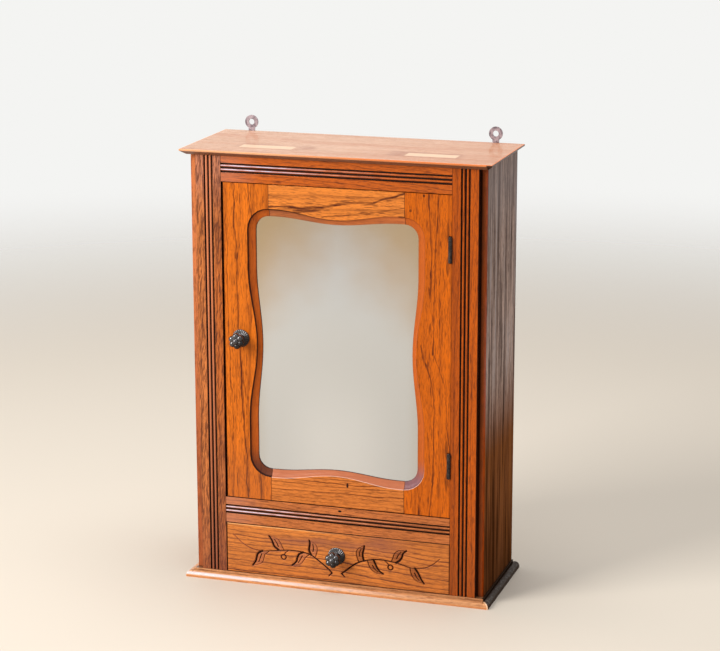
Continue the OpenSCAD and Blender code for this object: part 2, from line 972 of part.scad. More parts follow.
module door_stile_right() {
    color(wood_front)
        difference() {
            door_stile(joint_r_x, door_r_x);
            for (z = hinge_z) {
                translate([axis_x, axis_y, z]) {
                    barrel_cut();
                    leaf_bed();
                }
                leaf_screw_places(z, -1) screw_hole(leaf_screw);
            }
        }
}

module door_rail(low_z, high_z, tenon_z) {
    color(wood_front)
        difference() {
            union() {
                block([joint_l_x, face_y, low_z], [joint_r_x, door_back_y, high_z]);
                door_tenons(tenon_z);
            }
            opening_cut();
            glass_rebate();
        }
}

module door_top_rail() {
    door_rail(door_head_z - door_rail_h, door_head_z, top_tenon_z);
}

module door_bottom_rail() {
    door_rail(door_bot_z, door_bot_z + door_rail_h, bottom_tenon_z);
}

module mirror_glass() {
    w = rebate_w - glass_play;
    h = rebate_h - glass_play;
    color("#cfccc0")
        block([-w, glass_y, door_mid_z - h], [w, glass_y + glass_t, door_mid_z + h]);
}

module mirror_backing() {
    w = rebate_w - glass_play;
    h = rebate_h - glass_play;
    color(wood_inner)
        block([-w, backing_y, door_mid_z - h], [w, backing_y + backing_t, door_mid_z + h]);
}

// A mitred bead along one side of the rebate: half its length, and the rebate's half size across
module mirror_bead(half_l, across) {
    polygon([[-half_l, across], [half_l, across],
        [half_l - bead_w, across - bead_w], [-half_l + bead_w, across - bead_w]]);
}

module placed_bead(turn, half_l, across) {
    color(wood_front)
        translate([0, bead_y + bead_t, door_mid_z])
            rotate([90, 0, 0])
                rotate([0, 0, turn])
                    linear_extrude(bead_t) mirror_bead(half_l, across);
}

module mirror_bead_top() {
    placed_bead(0, rebate_w, rebate_h);
}

module mirror_bead_bottom() {
    placed_bead(180, rebate_w, rebate_h);
}

module mirror_bead_left() {
    placed_bead(90, rebate_h, rebate_w);
}

module mirror_bead_right() {
    placed_bead(-90, rebate_h, rebate_w);
}

module tongue_screw_places() {
    for (up = [plate_h / 2, plate_h - 4])
        translate([clip_x, door_back_y + plate_t, tongue_z + up]) rotate([-90, 0, 0]) children();
}

// An angle plate on the door's back, whose tongue goes between the clip's jaws
module door_catch_tongue() {
    color(metal_grey)
        difference() {
            run_along_x(clip_x - clip_w / 2 + 1, clip_x + clip_w / 2 - 1)
                polygon([[door_back_y, tongue_z], [door_back_y + tongue_l, tongue_z],
                    [door_back_y + tongue_l, tongue_z + tongue_t],
                    [door_back_y + plate_t, tongue_z + tongue_t],
                    [door_back_y + plate_t, tongue_z + plate_h],
                    [door_back_y, tongue_z + plate_h]]);
            tongue_screw_places() screw_hole(clip_screw);
        }
}

module catch_tongue_screws() {
    color(metal_grey) tongue_screw_places() wood_screw(clip_screw);
}

// Knobs, drawn along +Z from the face that they stand on

module knob_flange() {
    flute_r = 0.9;
    rim_h = 1.2;
    color(metal_dark)
        difference() {
            rotate_extrude()
                difference() {
                    polygon([[0, 0], [flange_r - 0.5, 0], [flange_r, 0.5], [flange_r, rim_h],
                        [flange_r - 1, rim_h + 0.8], [neck_r + 1.5, flange_t], [0, flange_t]]);
                    square([knob_screw_r + screw_play, 2 * flange_t]);
                }
            for (i = [0 : flute_count - 1])
                rotate([0, 0, 360 * i / flute_count])
                    translate([neck_r + 2.5, 0, flange_t + 0.15])
                        rotate([0, 90 + atan2(flange_t - rim_h, flange_r - neck_r - 2.5), 0])
                            cylinder(h = 2 * flange_r, r = flute_r, $fn = 24);
        }
}

// Blossom head: scalloped petals round a cluster of berries, on a turned stem.
// Its top is the highest of the balls that lie under each point.
petal_count = 12;
petal_up = 11.6;
petal_z = flange_t + petal_up;
petal_rise = 2.2;
petal_scallop = 1.1;
berry_r = 3.9;
berry_ring_r = head_r - berry_r;
berry_z = knob_reach - berry_r - 1.6;
berry_turn = 38;
berries = concat([[0, 0, knob_reach - berry_r]],
    [for (i = [0 : 5])
        let (a = 60 * i + berry_turn)
        [berry_ring_r * cos(a), berry_ring_r * sin(a), berry_z]]);

function petal_edge(a) = head_r - petal_scallop * (1 - abs(cos(petal_count / 2 * a)));

function ball_top(ball, x, y) =
    let (d2 = berry_r * berry_r - pow(x - ball[0], 2) - pow(y - ball[1], 2))
    d2 > 0 ? ball[2] + sqrt(d2) : 0;

function petal_top(a, share) =
    petal_z + petal_rise * sqrt(1 - share * share) * (0.6 + 0.4 * abs(cos(petal_count / 2 * a)));

function blossom_top(a, share) =
    let (
        r = petal_edge(a) * share,
        x = r * cos(a),
        y = r * sin(a)
    )
    max(concat([petal_top(a, share)], [for (b = berries) ball_top(b, x, y)]));

blossom_steps = 72;
top_shares = [0.97, 0.9, 0.82, 0.74, 0.64, 0.54, 0.44, 0.34, 0.24, 0.14, 0.06];

module blossom() {
    low_rings = [[0.42, petal_z - 4.4], [0.7, petal_z - 3.6], [0.92, petal_z - 1.8], [1, petal_z]];
    angles = [for (i = [0 : blossom_steps - 1]) 360 * i / blossom_steps];
    low = [for (ring = low_rings)
        for (a = angles)
            [petal_edge(a) * ring[0] * cos(a), petal_edge(a) * ring[0] * sin(a), ring[1]]];
    high = [for (share = top_shares)
        for (a = angles)
            [petal_edge(a) * share * cos(a), petal_edge(a) * share * sin(a), blossom_top(a, share)]];
    points = concat(low, high, [[0, 0, knob_reach], [0, 0, low_rings[0][1]]]);
    rings = len(low_rings) + len(top_shares);
    peak = rings * blossom_steps;
    n = blossom_steps;
    walls = [for (j = [0 : rings - 2])
        for (i = [0 : n - 1])
            let (a = j * n + i, b = j * n + (i + 1) % n)
            each [[a, a + n, b], [b, a + n, b + n]]];
    top_fan = [for (i = [0 : n - 1])
        [(rings - 1) * n + i, peak, (rings - 1) * n + (i + 1) % n]];
    low_fan = [for (i = [0 : n - 1]) [i, (i + 1) % n, peak + 1]];
    polyhedron(points, concat(walls, top_fan, low_fan), convexity = 6);
}

module knob_head() {
    cup_z = petal_z - 4.2;
    color(metal_dark)
        difference() {
            union() {
                rotate_extrude()
                    polygon([[0, flange_t], [neck_r + 0.8, flange_t], [neck_r, flange_t + 1.6],
                        [neck_r - 0.6, flange_t + 4], [neck_r - 0.2, cup_z], [0, cup_z]]);
                blossom();
            }
            translate([0, 0, -1]) cylinder(h = knob_bite - 1, r = knob_screw_r + screw_play);
        }
}

module on_face(x, z) {
    translate([x, face_y, z]) rotate([90, 0, 0]) children();
}

// Round-headed screw from behind, through wood of the given thickness into the knob
module knob_screw(x, rear_y, z, wood_t) {
    color(metal_grey)
        translate([x, rear_y, z])
            rotate([90, 0, 0]) {
                cylinder(h = wood_t + knob_bite - 2, r = knob_screw_r);
                mirror([0, 0, 1])
                    difference() {
                        rotate_extrude()
                            intersection() {
                                translate([0, knob_screw_head_h - 5]) circle(5);
                                square([knob_screw_head_r, knob_screw_head_h]);
                            }
                        translate([-knob_screw_head_r, -0.5, knob_screw_head_h - 1])
                            cube([2 * knob_screw_head_r, 1, 2]);
                    }
            }
}

module knob_screw_hole(x, rear_y, z, wood_t) {
    translate([x, rear_y + 1, z])
        rotate([90, 0, 0])
            cylinder(h = wood_t + 2, r = knob_screw_r + screw_play);
}

module door_knob_flange() {
    on_face(door_knob_x, door_knob_z) knob_flange();
}

module door_knob_head() {
    on_face(door_knob_x, door_knob_z) knob_head();
}

module door_knob_screw() {
    knob_screw(door_knob_x, door_back_y, door_knob_z, door_t);
}

module drawer_knob_flange() {
    on_face(0, drawer_knob_z) knob_flange();
}

module drawer_knob_head() {
    on_face(0, drawer_knob_z) knob_head();
}

module drawer_knob_screw() {
    knob_screw(0, drawer_in_y, drawer_knob_z, drawer_front_t);
}

// Drawer

// Corners of a row of dovetails in depth and height, from the lowest tail up
function tail_points(root_y, tip_y) =
    let (
        pitch = (drawer_side_top_z - bottom_top_z) / tail_count,
        root_w = pitch * 0.55 - tail_flare,
        tip_w = root_w + 2 * tail_flare
    )
    [for (i = [0 : tail_count - 1])
        let (z = bottom_top_z + (i + 0.5) * pitch)
        each [[root_y, z - root_w / 2], [tip_y, z - tip_w / 2],
            [tip_y, z + tip_w / 2], [root_y, z + root_w / 2]]];

front_tails = tail_points(drawer_in_y, tail_tip_y);
rear_tails = tail_points(drawer_back_y, drawer_rear_y);

// Sockets for the tails of both sides
module tail_sockets(points) {
    for (side = [0, 1])
        mirror([side, 0, 0])
            run_along_x(drawer_half - drawer_side_t, drawer_half + 1)
                for (i = [0 : tail_count - 1])
                    polygon([for (k = [0 : 3]) points[4 * i + k]]);
}

// The board that lies in the grooves, which is also what the grooves take away
module bottom_slab() {
    half = drawer_half - drawer_side_t + groove_d;
    block([-half, drawer_in_y - groove_d, bottom_z], [half, drawer_rear_y, bottom_top_z]);
}

module drawer_front() {
    color(wood_front)
        difference() {
            block([-drawer_half, face_y, front_low_z], [drawer_half, drawer_in_y, front_head_z]);
            tail_sockets(front_tails);
            bottom_slab();
            knob_screw_hole(0, drawer_in_y, drawer_knob_z, drawer_front_t);
        }
}

module drawer_side() {
    low = [[drawer_back_y, bottom_top_z], [drawer_rear_y, bottom_top_z],
        [drawer_rear_y, drawer_low_z], [drawer_in_y, drawer_low_z]];
    rear = [for (i = [len(rear_tails) - 1 : -1 : 0]) rear_tails[i]];
    color(wood_inner)
        difference() {
            run_along_x(drawer_half - drawer_side_t, drawer_half)
                polygon(concat(front_tails,
                    [[drawer_in_y, drawer_side_top_z], [drawer_back_y, drawer_side_top_z]],
                    rear, low));
            bottom_slab();
        }
}

module drawer_side_left() {
    mirror([1, 0, 0]) drawer_side();
}

module drawer_side_right() {
    drawer_side();
}

module drawer_back() {
    color(wood_inner)
        difference() {
            block([-drawer_half, drawer_back_y, bottom_top_z],
                [drawer_half, drawer_rear_y, drawer_side_top_z]);
            tail_sockets(rear_tails);
        }
}

module drawer_bottom() {
    color(wood_inner) bottom_slab();
}

top_board();
base_board();
side_board_left();
side_board_right();
front_stile_left();
front_stile_right();
top_rail();
middle_rail();
back_board_left();
back_board_middle();
back_board_right();
back_nails();
carcass_dowels();
cupboard_floor();
lower_shelf();
upper_shelf();
lower_shelf_batten_left();
lower_shelf_batten_right();
upper_shelf_batten_left();
upper_shelf_batten_right();
drawer_guide_left();
drawer_guide_right();
drawer_kicker_left();
drawer_kicker_right();
hanger_plate_left();
hanger_plate_right();
hanger_screws();
lower_hinge_frame_leaf();
upper_hinge_frame_leaf();
lower_hinge_pin();
upper_hinge_pin();
hinge_frame_screws();
door_catch_clip();
catch_clip_screw();
door_stile_left();
door_stile_right();
door_top_rail();
door_bottom_rail();
mirror_glass();
mirror_backing();
mirror_bead_top();
mirror_bead_bottom();
mirror_bead_left();
mirror_bead_right();
lower_hinge_door_leaf();
upper_hinge_door_leaf();
hinge_door_screws();
door_catch_tongue();
catch_tongue_screws();
door_knob_flange();
door_knob_head();
door_knob_screw();
drawer_front();
drawer_side_left();
drawer_side_right();
drawer_back();
drawer_bottom();
drawer_knob_flange();
drawer_knob_head();
drawer_knob_screw();
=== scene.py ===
import json
import math

import bmesh
import bpy
from mathutils import Matrix, Vector


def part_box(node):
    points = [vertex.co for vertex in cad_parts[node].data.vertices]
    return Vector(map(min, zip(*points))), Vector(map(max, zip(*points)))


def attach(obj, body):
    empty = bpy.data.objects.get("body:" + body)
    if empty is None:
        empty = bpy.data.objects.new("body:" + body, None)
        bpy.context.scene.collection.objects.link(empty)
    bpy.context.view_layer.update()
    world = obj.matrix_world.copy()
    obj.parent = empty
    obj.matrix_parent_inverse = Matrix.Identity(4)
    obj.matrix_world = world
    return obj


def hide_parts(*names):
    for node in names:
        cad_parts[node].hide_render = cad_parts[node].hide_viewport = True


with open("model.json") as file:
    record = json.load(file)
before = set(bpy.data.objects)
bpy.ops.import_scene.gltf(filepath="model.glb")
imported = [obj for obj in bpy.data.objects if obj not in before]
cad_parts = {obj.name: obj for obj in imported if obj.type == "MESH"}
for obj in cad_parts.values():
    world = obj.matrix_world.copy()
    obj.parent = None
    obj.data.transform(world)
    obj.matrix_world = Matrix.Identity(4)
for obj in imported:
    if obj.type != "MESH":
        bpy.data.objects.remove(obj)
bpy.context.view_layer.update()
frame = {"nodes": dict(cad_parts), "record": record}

MM = 0.001


# ---------------------------------------------------------------- shader maths

class Signal:
    """A socket that takes part in Python expressions."""

    def __init__(self, graph, socket):
        self.graph = graph
        self.socket = socket

    def maths(self, operation, *values):
        return self.graph.node("ShaderNodeMath", {"operation": operation}, dict(enumerate(values)))

    def __add__(self, other):
        return self.maths("ADD", self, other)

    __radd__ = __add__

    def __sub__(self, other):
        return self.maths("SUBTRACT", self, other)

    def __rsub__(self, other):
        return self.maths("SUBTRACT", other, self)

    def __mul__(self, other):
        return self.maths("MULTIPLY", self, other)

    __rmul__ = __mul__

    def __truediv__(self, other):
        return self.maths("DIVIDE", self, other)

    def __pow__(self, other):
        return self.maths("POWER", self, other)

    def __abs__(self):
        return self.maths("ABSOLUTE", self)


class Graph:
    """A node tree whose nodes are added one by one."""

    def __init__(self, tree):
        self.tree = tree

    def node(self, kind, settings, inputs, output=0):
        """Adds one node: its settings first, then the values or links of its sockets."""
        node = self.tree.nodes.new(kind)
        for key, value in settings.items():
            setattr(node, key, value)
        for key, value in inputs.items():
            self.feed(node.inputs[key], value)
        return Signal(self, node.outputs[output])

    def feed(self, socket, value):
        if isinstance(value, Signal):
            self.tree.links.new(value.socket, socket)
        elif isinstance(value, tuple) and socket.type == "RGBA":
            socket.default_value = (*value, 1)
        else:
            socket.default_value = value


class Finish(Graph):
    """A material with the object's own coordinates at hand."""

    def __init__(self, name):
        self.material = bpy.data.materials.new(name)
        self.material.use_nodes = True
        super().__init__(self.material.node_tree)
        self.shader = self.tree.nodes["Principled BSDF"]
        self.where = self.node("ShaderNodeTexCoord", {}, {}, "Object")
        split = self.node("ShaderNodeSeparateXYZ", {}, {0: self.where}).socket.node
        self.x, self.y, self.z = (Signal(self, split.outputs[i]) for i in range(3))

    def set(self, **values):
        """Feeds the shader's sockets, written with underscores for spaces."""
        for key, value in values.items():
            self.feed(self.shader.inputs[key.replace("_", " ")], value)

    def combine(self, x, y, z):
        return self.node("ShaderNodeCombineXYZ", {}, {0: x, 1: y, 2: z})

    def noise(self, place, scale=1.0, detail=2.0, rough=0.5):
        return self.node("ShaderNodeTexNoise", {}, {
            "Vector": place, "Scale": scale, "Detail": detail, "Roughness": rough})

    def cells(self, place, scale=1.0):
        return self.node("ShaderNodeTexVoronoi", {}, {"Vector": place, "Scale": scale})

    def chance(self, number):
        """A random value, 0 to 1, that belongs to a whole number."""
        return self.node("ShaderNodeTexWhiteNoise", {"noise_dimensions": "1D"}, {"W": number})

    def step(self, value, low, high):
        """0 below low, 1 above high and smooth between; low may be the larger one."""
        rise = self.node("ShaderNodeMapRange", {"interpolation_type": "SMOOTHSTEP"},
                         {0: value, 1: min(low, high), 2: max(low, high), 3: 0.0, 4: 1.0})
        return rise if low < high else 1 - rise

    def band(self, value, low, high, soft):
        """1 between low and high, with soft ends outside them."""
        return self.step(value, low - soft, low) * self.step(value, high + soft, high)

    def spot(self, x, z, wide, high):
        """1 in a soft-edged upright ellipse on the front."""
        a = (self.x - x * MM) / (wide * MM)
        b = (self.z - z * MM) / (high * MM)
        return self.step(a * a + b * b, 1.0, 0.35)

    def course(self, value, points):
        """The second coordinate, in mm, of a line through points, found along their first."""
        line = points[0][1] * MM
        for (start, low), (end, high) in zip(points, points[1:]):
            line = line + self.node("ShaderNodeMapRange", {}, {
                0: value, 1: start * MM, 2: end * MM, 3: 0.0, 4: (high - low) * MM})
        return line

    def mix(self, factor, a, b, blend="MIX"):
        return self.node("ShaderNodeMix", {"data_type": "RGBA", "blend_type": blend},
                         {0: factor, 6: a, 7: b}, 2)

    def bump(self, height, distance, strength=1.0):
        return self.node("ShaderNodeBump", {}, {
            "Height": height, "Distance": distance, "Strength": strength})


def srgb(red, green, blue):
    """A colour as it is read off a picture, 0 to 255, in linear values."""
    return tuple(((c / 255 + 0.055) / 1.055) ** 2.4 if c > 10 else c / 255 / 12.92
                 for c in (red, green, blue))


def between(a, b, share):
    """The colour that lies the given share of the way from one to another."""
    return tuple(p + (q - p) * share for p, q in zip(a, b))


# ---------------------------------------------------------------- finishes

def oak(name, grain, light, dark, seed, ring=5.0, heart=(100, 30), tilt=0.0, vein=0.22,
        veins=0.9, cloud=0.3, coat=0.05, shine=0.1, lines=(), touch=None):
    """Polished oak. Years are rings round a heart line, in mm from the frame's zero across
    the grain and into the depth; tilt leans that line and makes the rings into arches.
    The early wood, the given share of each year, is a dark vein of long open pores. Lines
    are single dark veins: points along and across the grain, half their width, their depth
    of colour."""
    f = Finish(name)
    along, across, deep = {"x": (f.x, f.z, f.y), "y": (f.y, f.x, f.z),
                           "z": (f.z, f.x, f.y)}[grain]
    shift = seed * 1.37
    drift = f.noise(f.combine(along * 2.7 + shift, across * 9, deep * 9), detail=2)
    wobble = f.noise(f.combine(along * 20 + shift, across * 70, deep * 70), detail=3, rough=0.6)
    a = across - heart[0] * MM + (drift - 0.5) * 0.035 + (wobble - 0.5) * 0.006
    b = deep - heart[1] * MM + along * tilt
    radius = (a * a + b * b) ** 0.5 / (ring * MM)
    year = radius.maths("FLOOR", radius)
    age = f.chance(year + seed * 7)
    phase = radius - year
    early = f.step(phase, 0.94 - vein, 0.94) * f.step(phase, 1.0, 0.95)
    late = f.step(phase, 0.2, 0.9)
    dashes = f.noise(f.combine(along * 34 + shift, across * 520, deep * 520), detail=2, rough=0.6)
    dashes = f.step(dashes, 0.36, 0.6)
    flecks = f.noise(f.combine(along * 55 + shift, across * 560, deep * 560), detail=2, rough=0.55)
    flecks = f.step(flecks, 0.55, 0.68)
    pores = f.noise(f.combine(along * 120 + shift, across * 950, deep * 950), detail=1)
    pores = f.step(pores, 0.5, 0.68)
    broad = f.noise(f.combine(along * 5 + shift, across * 26, deep * 26), detail=3, rough=0.6)
    fibre = f.noise(f.combine(along * 12 + shift, across * 300, deep * 300), detail=3, rough=0.65)
    strength = early * (0.15 + 0.85 * age)
    colour = f.mix(f.step(broad, 0.35, 0.7) * cloud, light, between(light, dark, 0.5))
    colour = f.mix(f.step(fibre, 0.4, 0.7) * 0.36, colour, between(light, dark, 0.55))
    colour = f.mix(late * (0.05 + 0.25 * age), colour, between(light, dark, 0.6))
    colour = f.mix(strength * (0.4 + 0.6 * dashes) * veins, colour, dark)
    colour = f.mix(flecks * (0.5 + 0.4 * late), colour, between(light, dark, 0.85))
    colour = f.mix(pores * 0.5, colour, between(light, dark, 0.75))
    hollow = pores * 0.4 + flecks * 0.5 + strength * dashes * 0.6 + fibre * 0.3
    for points, wide, depth in lines:
        gap = abs(across - f.course(along, points) + (wobble - 0.5) * 0.009)
        gap = gap / ((0.4 + 1.3 * f.step(broad, 0.3, 0.7)) * wide * MM)
        ends = f.band(along, points[0][0] * MM, points[-1][0] * MM, 4 * MM)
        line = f.step(gap, 1.25, 0.3) * ends * depth
        beside = f.step(gap, 4.5, 0.8) * ends * flecks
        colour = f.mix(beside * 0.4 + line * (0.45 + 0.55 * dashes), colour, dark)
        hollow = hollow + line * 0.5
    if touch:
        colour = touch(f, colour)
    f.set(Base_Color=colour, Roughness=0.32 + 0.16 * broad + 0.12 * pores,
          Coat_Weight=coat(f) if callable(coat) else coat, Coat_Roughness=0.12,
          Specular_IOR_Level=shine)
    f.set(Normal=f.bump(1 - hollow, 0.0004, 0.5))
    return f.material


def bare_oak(name, grain, seed, light=srgb(190, 148, 98), dark=srgb(112, 74, 42), touch=None):
    return oak(name, grain, light, dark, seed, veins=0.55, coat=0.0, touch=touch)


def old_mirror(name):
    """Silvered glass, slightly hazy, browned at the upper corners and along its edges."""
    f = Finish(name)
    low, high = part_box("mirror_glass")
    middle = (low + high) / 2
    across = abs(f.x - middle.x) / (high.x - middle.x)
    up = (f.z - low.z) / (high.z - low.z)
    cloud = f.noise(f.where, 8.0, 3, 0.55)
    brown = f.step(up + across * 0.25 + (cloud - 0.5) * 0.4, 0.68, 1.2)
    edge = f.step(across, 0.8, 1.0)
    clear = f.step(up, 0.5, 0.1) * f.step(across, 0.9, 0.1)
    colour = f.mix(clear * 0.7, srgb(196, 199, 202), srgb(215, 218, 221))
    colour = f.mix(brown * 0.9, colour, srgb(184, 154, 112))
    colour = f.mix(edge * 0.25, colour, srgb(172, 158, 132))
    speck = f.step(f.cells(f.where, 62.0), 0.07, 0.02) * f.step(f.noise(f.where, 31.0, 2), 0.56, 0.66)
    colour = f.mix(speck * 0.3, colour, srgb(150, 140, 118))
    f.set(Base_Color=colour, Metallic=1.0, Roughness=0.1 + 0.05 * cloud)
    return f.material


def dark_bronze(name):
    """Dark bronze, painted brighter and given more coat at the upper left of each knob as a painted
    highlight, and duller below.
    """
    f = Finish(name)
    grime = f.noise(f.where, 260.0, 3, 0.6)
    fine = f.noise(f.where, 1100.0, 2)
    lit_area = 0.0
    for owner in ("door", "drawer"):
        low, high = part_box(owner + "_knob_flange")
        aside = f.x - (low.x + high.x) / 2
        up = f.z - (low.z + high.z) / 2
        near = f.step(aside * aside + up * up, 0.002, 0.001)
        # painted highlight on the lit upper left of each knob
        lit_area = lit_area + near * f.step(up * 0.8 - aside * 0.6, -9 * MM, 5 * MM)
    colour = f.mix(f.step(grime, 0.35, 0.65), srgb(20, 19, 22), srgb(46, 36, 30))
    f.set(Base_Color=f.mix(lit_area * 0.5, colour, srgb(58, 56, 62)), Metallic=0.9,
          Roughness=0.2 + 0.14 * grime, Coat_Weight=0.15 + 0.85 * lit_area, Coat_Roughness=0.1,
          Coat_IOR=1.75, Normal=f.bump(fine, 0.0001, 0.5))
    return f.material


def aged_steel(name, light, dark, rough=0.45):
    """Dull steel with darker blotches."""
    f = Finish(name)
    blotch = f.noise(f.where, 190.0, 4, 0.65)
    fine = f.noise(f.where, 1800.0, 2)
    f.set(Base_Color=f.mix(f.step(blotch, 0.38, 0.64), light, dark), Metallic=0.7,
          Roughness=rough + 0.2 * blotch, Normal=f.bump(fine, 0.00006, 0.5))
    return f.material


# ---------------------------------------------------------------- pieces

def node_body(node):
    for body, nodes in frame["record"]["behaviour"]["bodies"].items():
        if node in nodes:
            return body
    return "root"


def paint(nodes, material):
    for node in nodes:
        mesh = frame["nodes"][node].data
        mesh.materials.clear()
        mesh.materials.append(material)


def set_down(name, bm, body, material, nodes=(), smooth=35, flat_area=120):
    """Makes a finished object of a bmesh, shaded smooth up to an angle; large faces, in
    square mm, are left flat."""
    for face in bm.faces:
        face.smooth = face.calc_area() < flat_area * MM * MM
    for edge in bm.edges:
        edge.smooth = len(edge.link_faces) == 2 and edge.calc_face_angle(0) < math.radians(smooth)
    mesh = bpy.data.meshes.new(name)
    bm.to_mesh(mesh)
    bm.free()
    mesh.materials.append(material)
    piece = bpy.data.objects.new(name, mesh)
    bpy.context.scene.collection.objects.link(piece)
    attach(piece, body)
    if nodes:
        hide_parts(*nodes)
    return piece


def copied(node):
    """A merged copy of a CAD node's mesh, without the edges that lie in its flat faces."""
    bm = bmesh.new()
    bm.from_mesh(frame["nodes"][node].data)
    bmesh.ops.remove_doubles(bm, verts=bm.verts, dist=2e-6)
    bmesh.ops.dissolve_limit(bm, angle_limit=math.radians(0.4), verts=bm.verts, edges=bm.edges)
    return bm


def softened(node, material, width=0.7, steps=2):
    """A board or plate with its sharp outer arrises eased, standing for the CAD node."""
    bm = copied(node)
    sharp = [e for e in bm.edges if len(e.link_faces) == 2 and e.is_convex
             and e.calc_face_angle(0) > math.radians(40) and e.calc_length() > 4 * width * MM]
    bmesh.ops.bevel(bm, geom=sharp, offset=width * MM, offset_type="OFFSET", affect="EDGES",
                    segments=steps, profile=0.5, material=-1, clamp_overlap=True)
    return set_down(node + "_eased", bm, node_body(node), material, [node])


def turned(bm, profile, steps):
    """Spins a profile of radii and heights, in mm, about Z and gives its points."""
    verts = [bmesh.ops.create_vert(bm, co=(r * MM, 0, h * MM))["vert"][0] for r, h in profile]
    edges = []
    for a, b in zip(verts, verts[1:]):
        edges += bmesh.ops.contextual_create(bm, geom=[a, b])["edges"]
    before = set(bm.verts) - set(verts)
    bmesh.ops.spin(bm, geom=verts + edges, cent=(0, 0, 0), axis=(0, 0, 1), dvec=(0, 0, 0),
                   angle=math.tau, steps=steps, use_merge=True)
    made = [v for v in bm.verts if v not in before]
    bmesh.ops.remove_doubles(bm, verts=made, dist=1e-6)
    return [v for v in bm.verts if v not in before]


def stood_on_face(bm, x, z, face):
    """Turns what was drawn along +Z so that it stands on a front face."""
    bmesh.ops.recalc_face_normals(bm, faces=bm.faces)
    place = Matrix.Translation((x, face, z)) @ Matrix.Rotation(math.radians(90), 4, "X")
    bmesh.ops.transform(bm, matrix=place, verts=bm.verts)


def round_line(points, steps=6):
    """A smooth curve through points of any number of coordinates."""
    line = []
    for i in range(len(points) - 1):
        around = [points[max(i - 1, 0)], points[i], points[i + 1], points[min(i + 2, len(points) - 1)]]
        for k in range(steps):
            t = k / steps
            line.append(tuple(
                0.5 * (2 * b + (c - a) * t + (2 * a - 5 * b + 4 * c - d) * t * t
                       + (3 * b - a - 3 * c + d) * t ** 3) for a, b, c, d in zip(*around)))
    line.append(tuple(points[-1]))
    return line


class CarvedFace:
    """Depths, in mm, that are cut into a flat front face, on a fine even net of points."""

    def __init__(self, low, high, pitch):
        self.low = low
        self.counts = [round((h - l) / pitch) for l, h in zip(low, high)]
        self.pitch = [(h - l) / n for l, h, n in zip(low, high, self.counts)]
        self.depths = {}

    def near(self, points, margin):
        """The net's points in the box round some others."""
        spans = []
        for k in range(2):
            values = [p[k] for p in points]
            first = math.floor((min(values) - margin - self.low[k]) / self.pitch[k])
            last = math.ceil((max(values) + margin - self.low[k]) / self.pitch[k])
            spans.append(range(max(first, 0), min(last, self.counts[k]) + 1))
        for i in spans[0]:
            for k in spans[1]:
                yield (i, k), self.low[0] + i * self.pitch[0], self.low[1] + k * self.pitch[1]

    def cut(self, key, depth):
        self.depths[key] = max(self.depths.get(key, 0), depth)

    def knife(self, points, half_width, depth):
        """A V-shaped cut along a curve; both sizes go from a first to a last value."""
        line = round_line(points)
        count = len(line) - 1
        for i, (p, q) in enumerate(zip(line, line[1:])):
            share = (i + 0.5) / count
            wide = half_width[0] + (half_width[1] - half_width[0]) * share
            deep = depth[0] + (depth[1] - depth[0]) * share
            run = (q[0] - p[0], q[1] - p[1])
            length = max(run[0] ** 2 + run[1] ** 2, 1e-9)
            for key, x, z in self.near([p, q], wide):
                t = min(1, max(0, ((x - p[0]) * run[0] + (z - p[1]) * run[1]) / length))
                gap = math.hypot(x - p[0] - run[0] * t, z - p[1] - run[1] * t)
                if gap < wide:
                    self.cut(key, deep * (1 - gap / wide))

    def leaf(self, steep, shallow, depth, steps=5):
        """A leaf hollowed out between two curves: deepest along the first, level at the other."""
        rungs = list(zip(round_line(steep, steps), round_line(shallow, steps)))
        count = len(rungs) - 1
        for i, ((a, b), (c, d)) in enumerate(zip(rungs, rungs[1:])):
            for corners, values in (((a, b, c), ((0, i), (1, i), (0, i + 1))),
                                    ((b, d, c), ((1, i), (1, i + 1), (0, i + 1)))):
                (ax, az), (bx, bz), (cx, cz) = corners
                area = (bx - ax) * (cz - az) - (cx - ax) * (bz - az)
                if abs(area) < 1e-6:
                    continue
                for key, x, z in self.near(corners, 0):
                    v = ((x - ax) * (cz - az) - (cx - ax) * (z - az)) / area
                    w = ((bx - ax) * (z - az) - (x - ax) * (bz - az)) / area
                    if v < -1e-6 or w < -1e-6 or v + w > 1 + 1e-6:
                        continue
                    u = 1 - v - w
                    over = u * values[0][0] + v * values[1][0] + w * values[2][0]
                    along = (u * values[0][1] + v * values[1][1] + w * values[2][1]) / count
                    swell = math.sin(math.pi * min(1, 0.12 + along * 0.95)) ** 0.5 if along < 0.93 else 0.35
                    self.cut(key, depth * swell * (0.3 + 0.7 * (1 - over) ** 1.4))

    def berry(self, x, z, radius, wide, depth):
        """A ring cut round a button that is left standing."""
        for key, px, pz in self.near([(x, z)], radius + wide):
            gap = abs(math.hypot(px - x, pz - z) - radius)
            if gap < wide:
                self.cut(key, depth * (1 - gap / wide))


# ---------------------------------------------------------------- stage

CAMERA_PLACE = (0.98128, -3.0159, 1.16576)
FOCAL_LENGTH = 114.81
TURN, TILT, ROLL = (math.radians(angle) for angle in (17.805, 90 - 14.028, -0.116))


def photo_camera():
    """The camera that was solved from the straight edges of the cabinet."""
    camera = bpy.data.objects.new("photo_camera", bpy.data.cameras.new("photo_camera"))
    bpy.context.scene.collection.objects.link(camera)
    camera.data.sensor_fit = "HORIZONTAL"
    camera.data.sensor_width = 36
    camera.data.lens = FOCAL_LENGTH
    camera.data.clip_end = 60
    turn = Matrix.Rotation(TURN, 3, "Z") @ Matrix.Rotation(TILT, 3, "X") @ Matrix.Rotation(ROLL, 3, "Z")
    camera.matrix_world = Matrix.Translation(CAMERA_PLACE) @ turn.to_4x4()
    bpy.context.scene.camera = camera


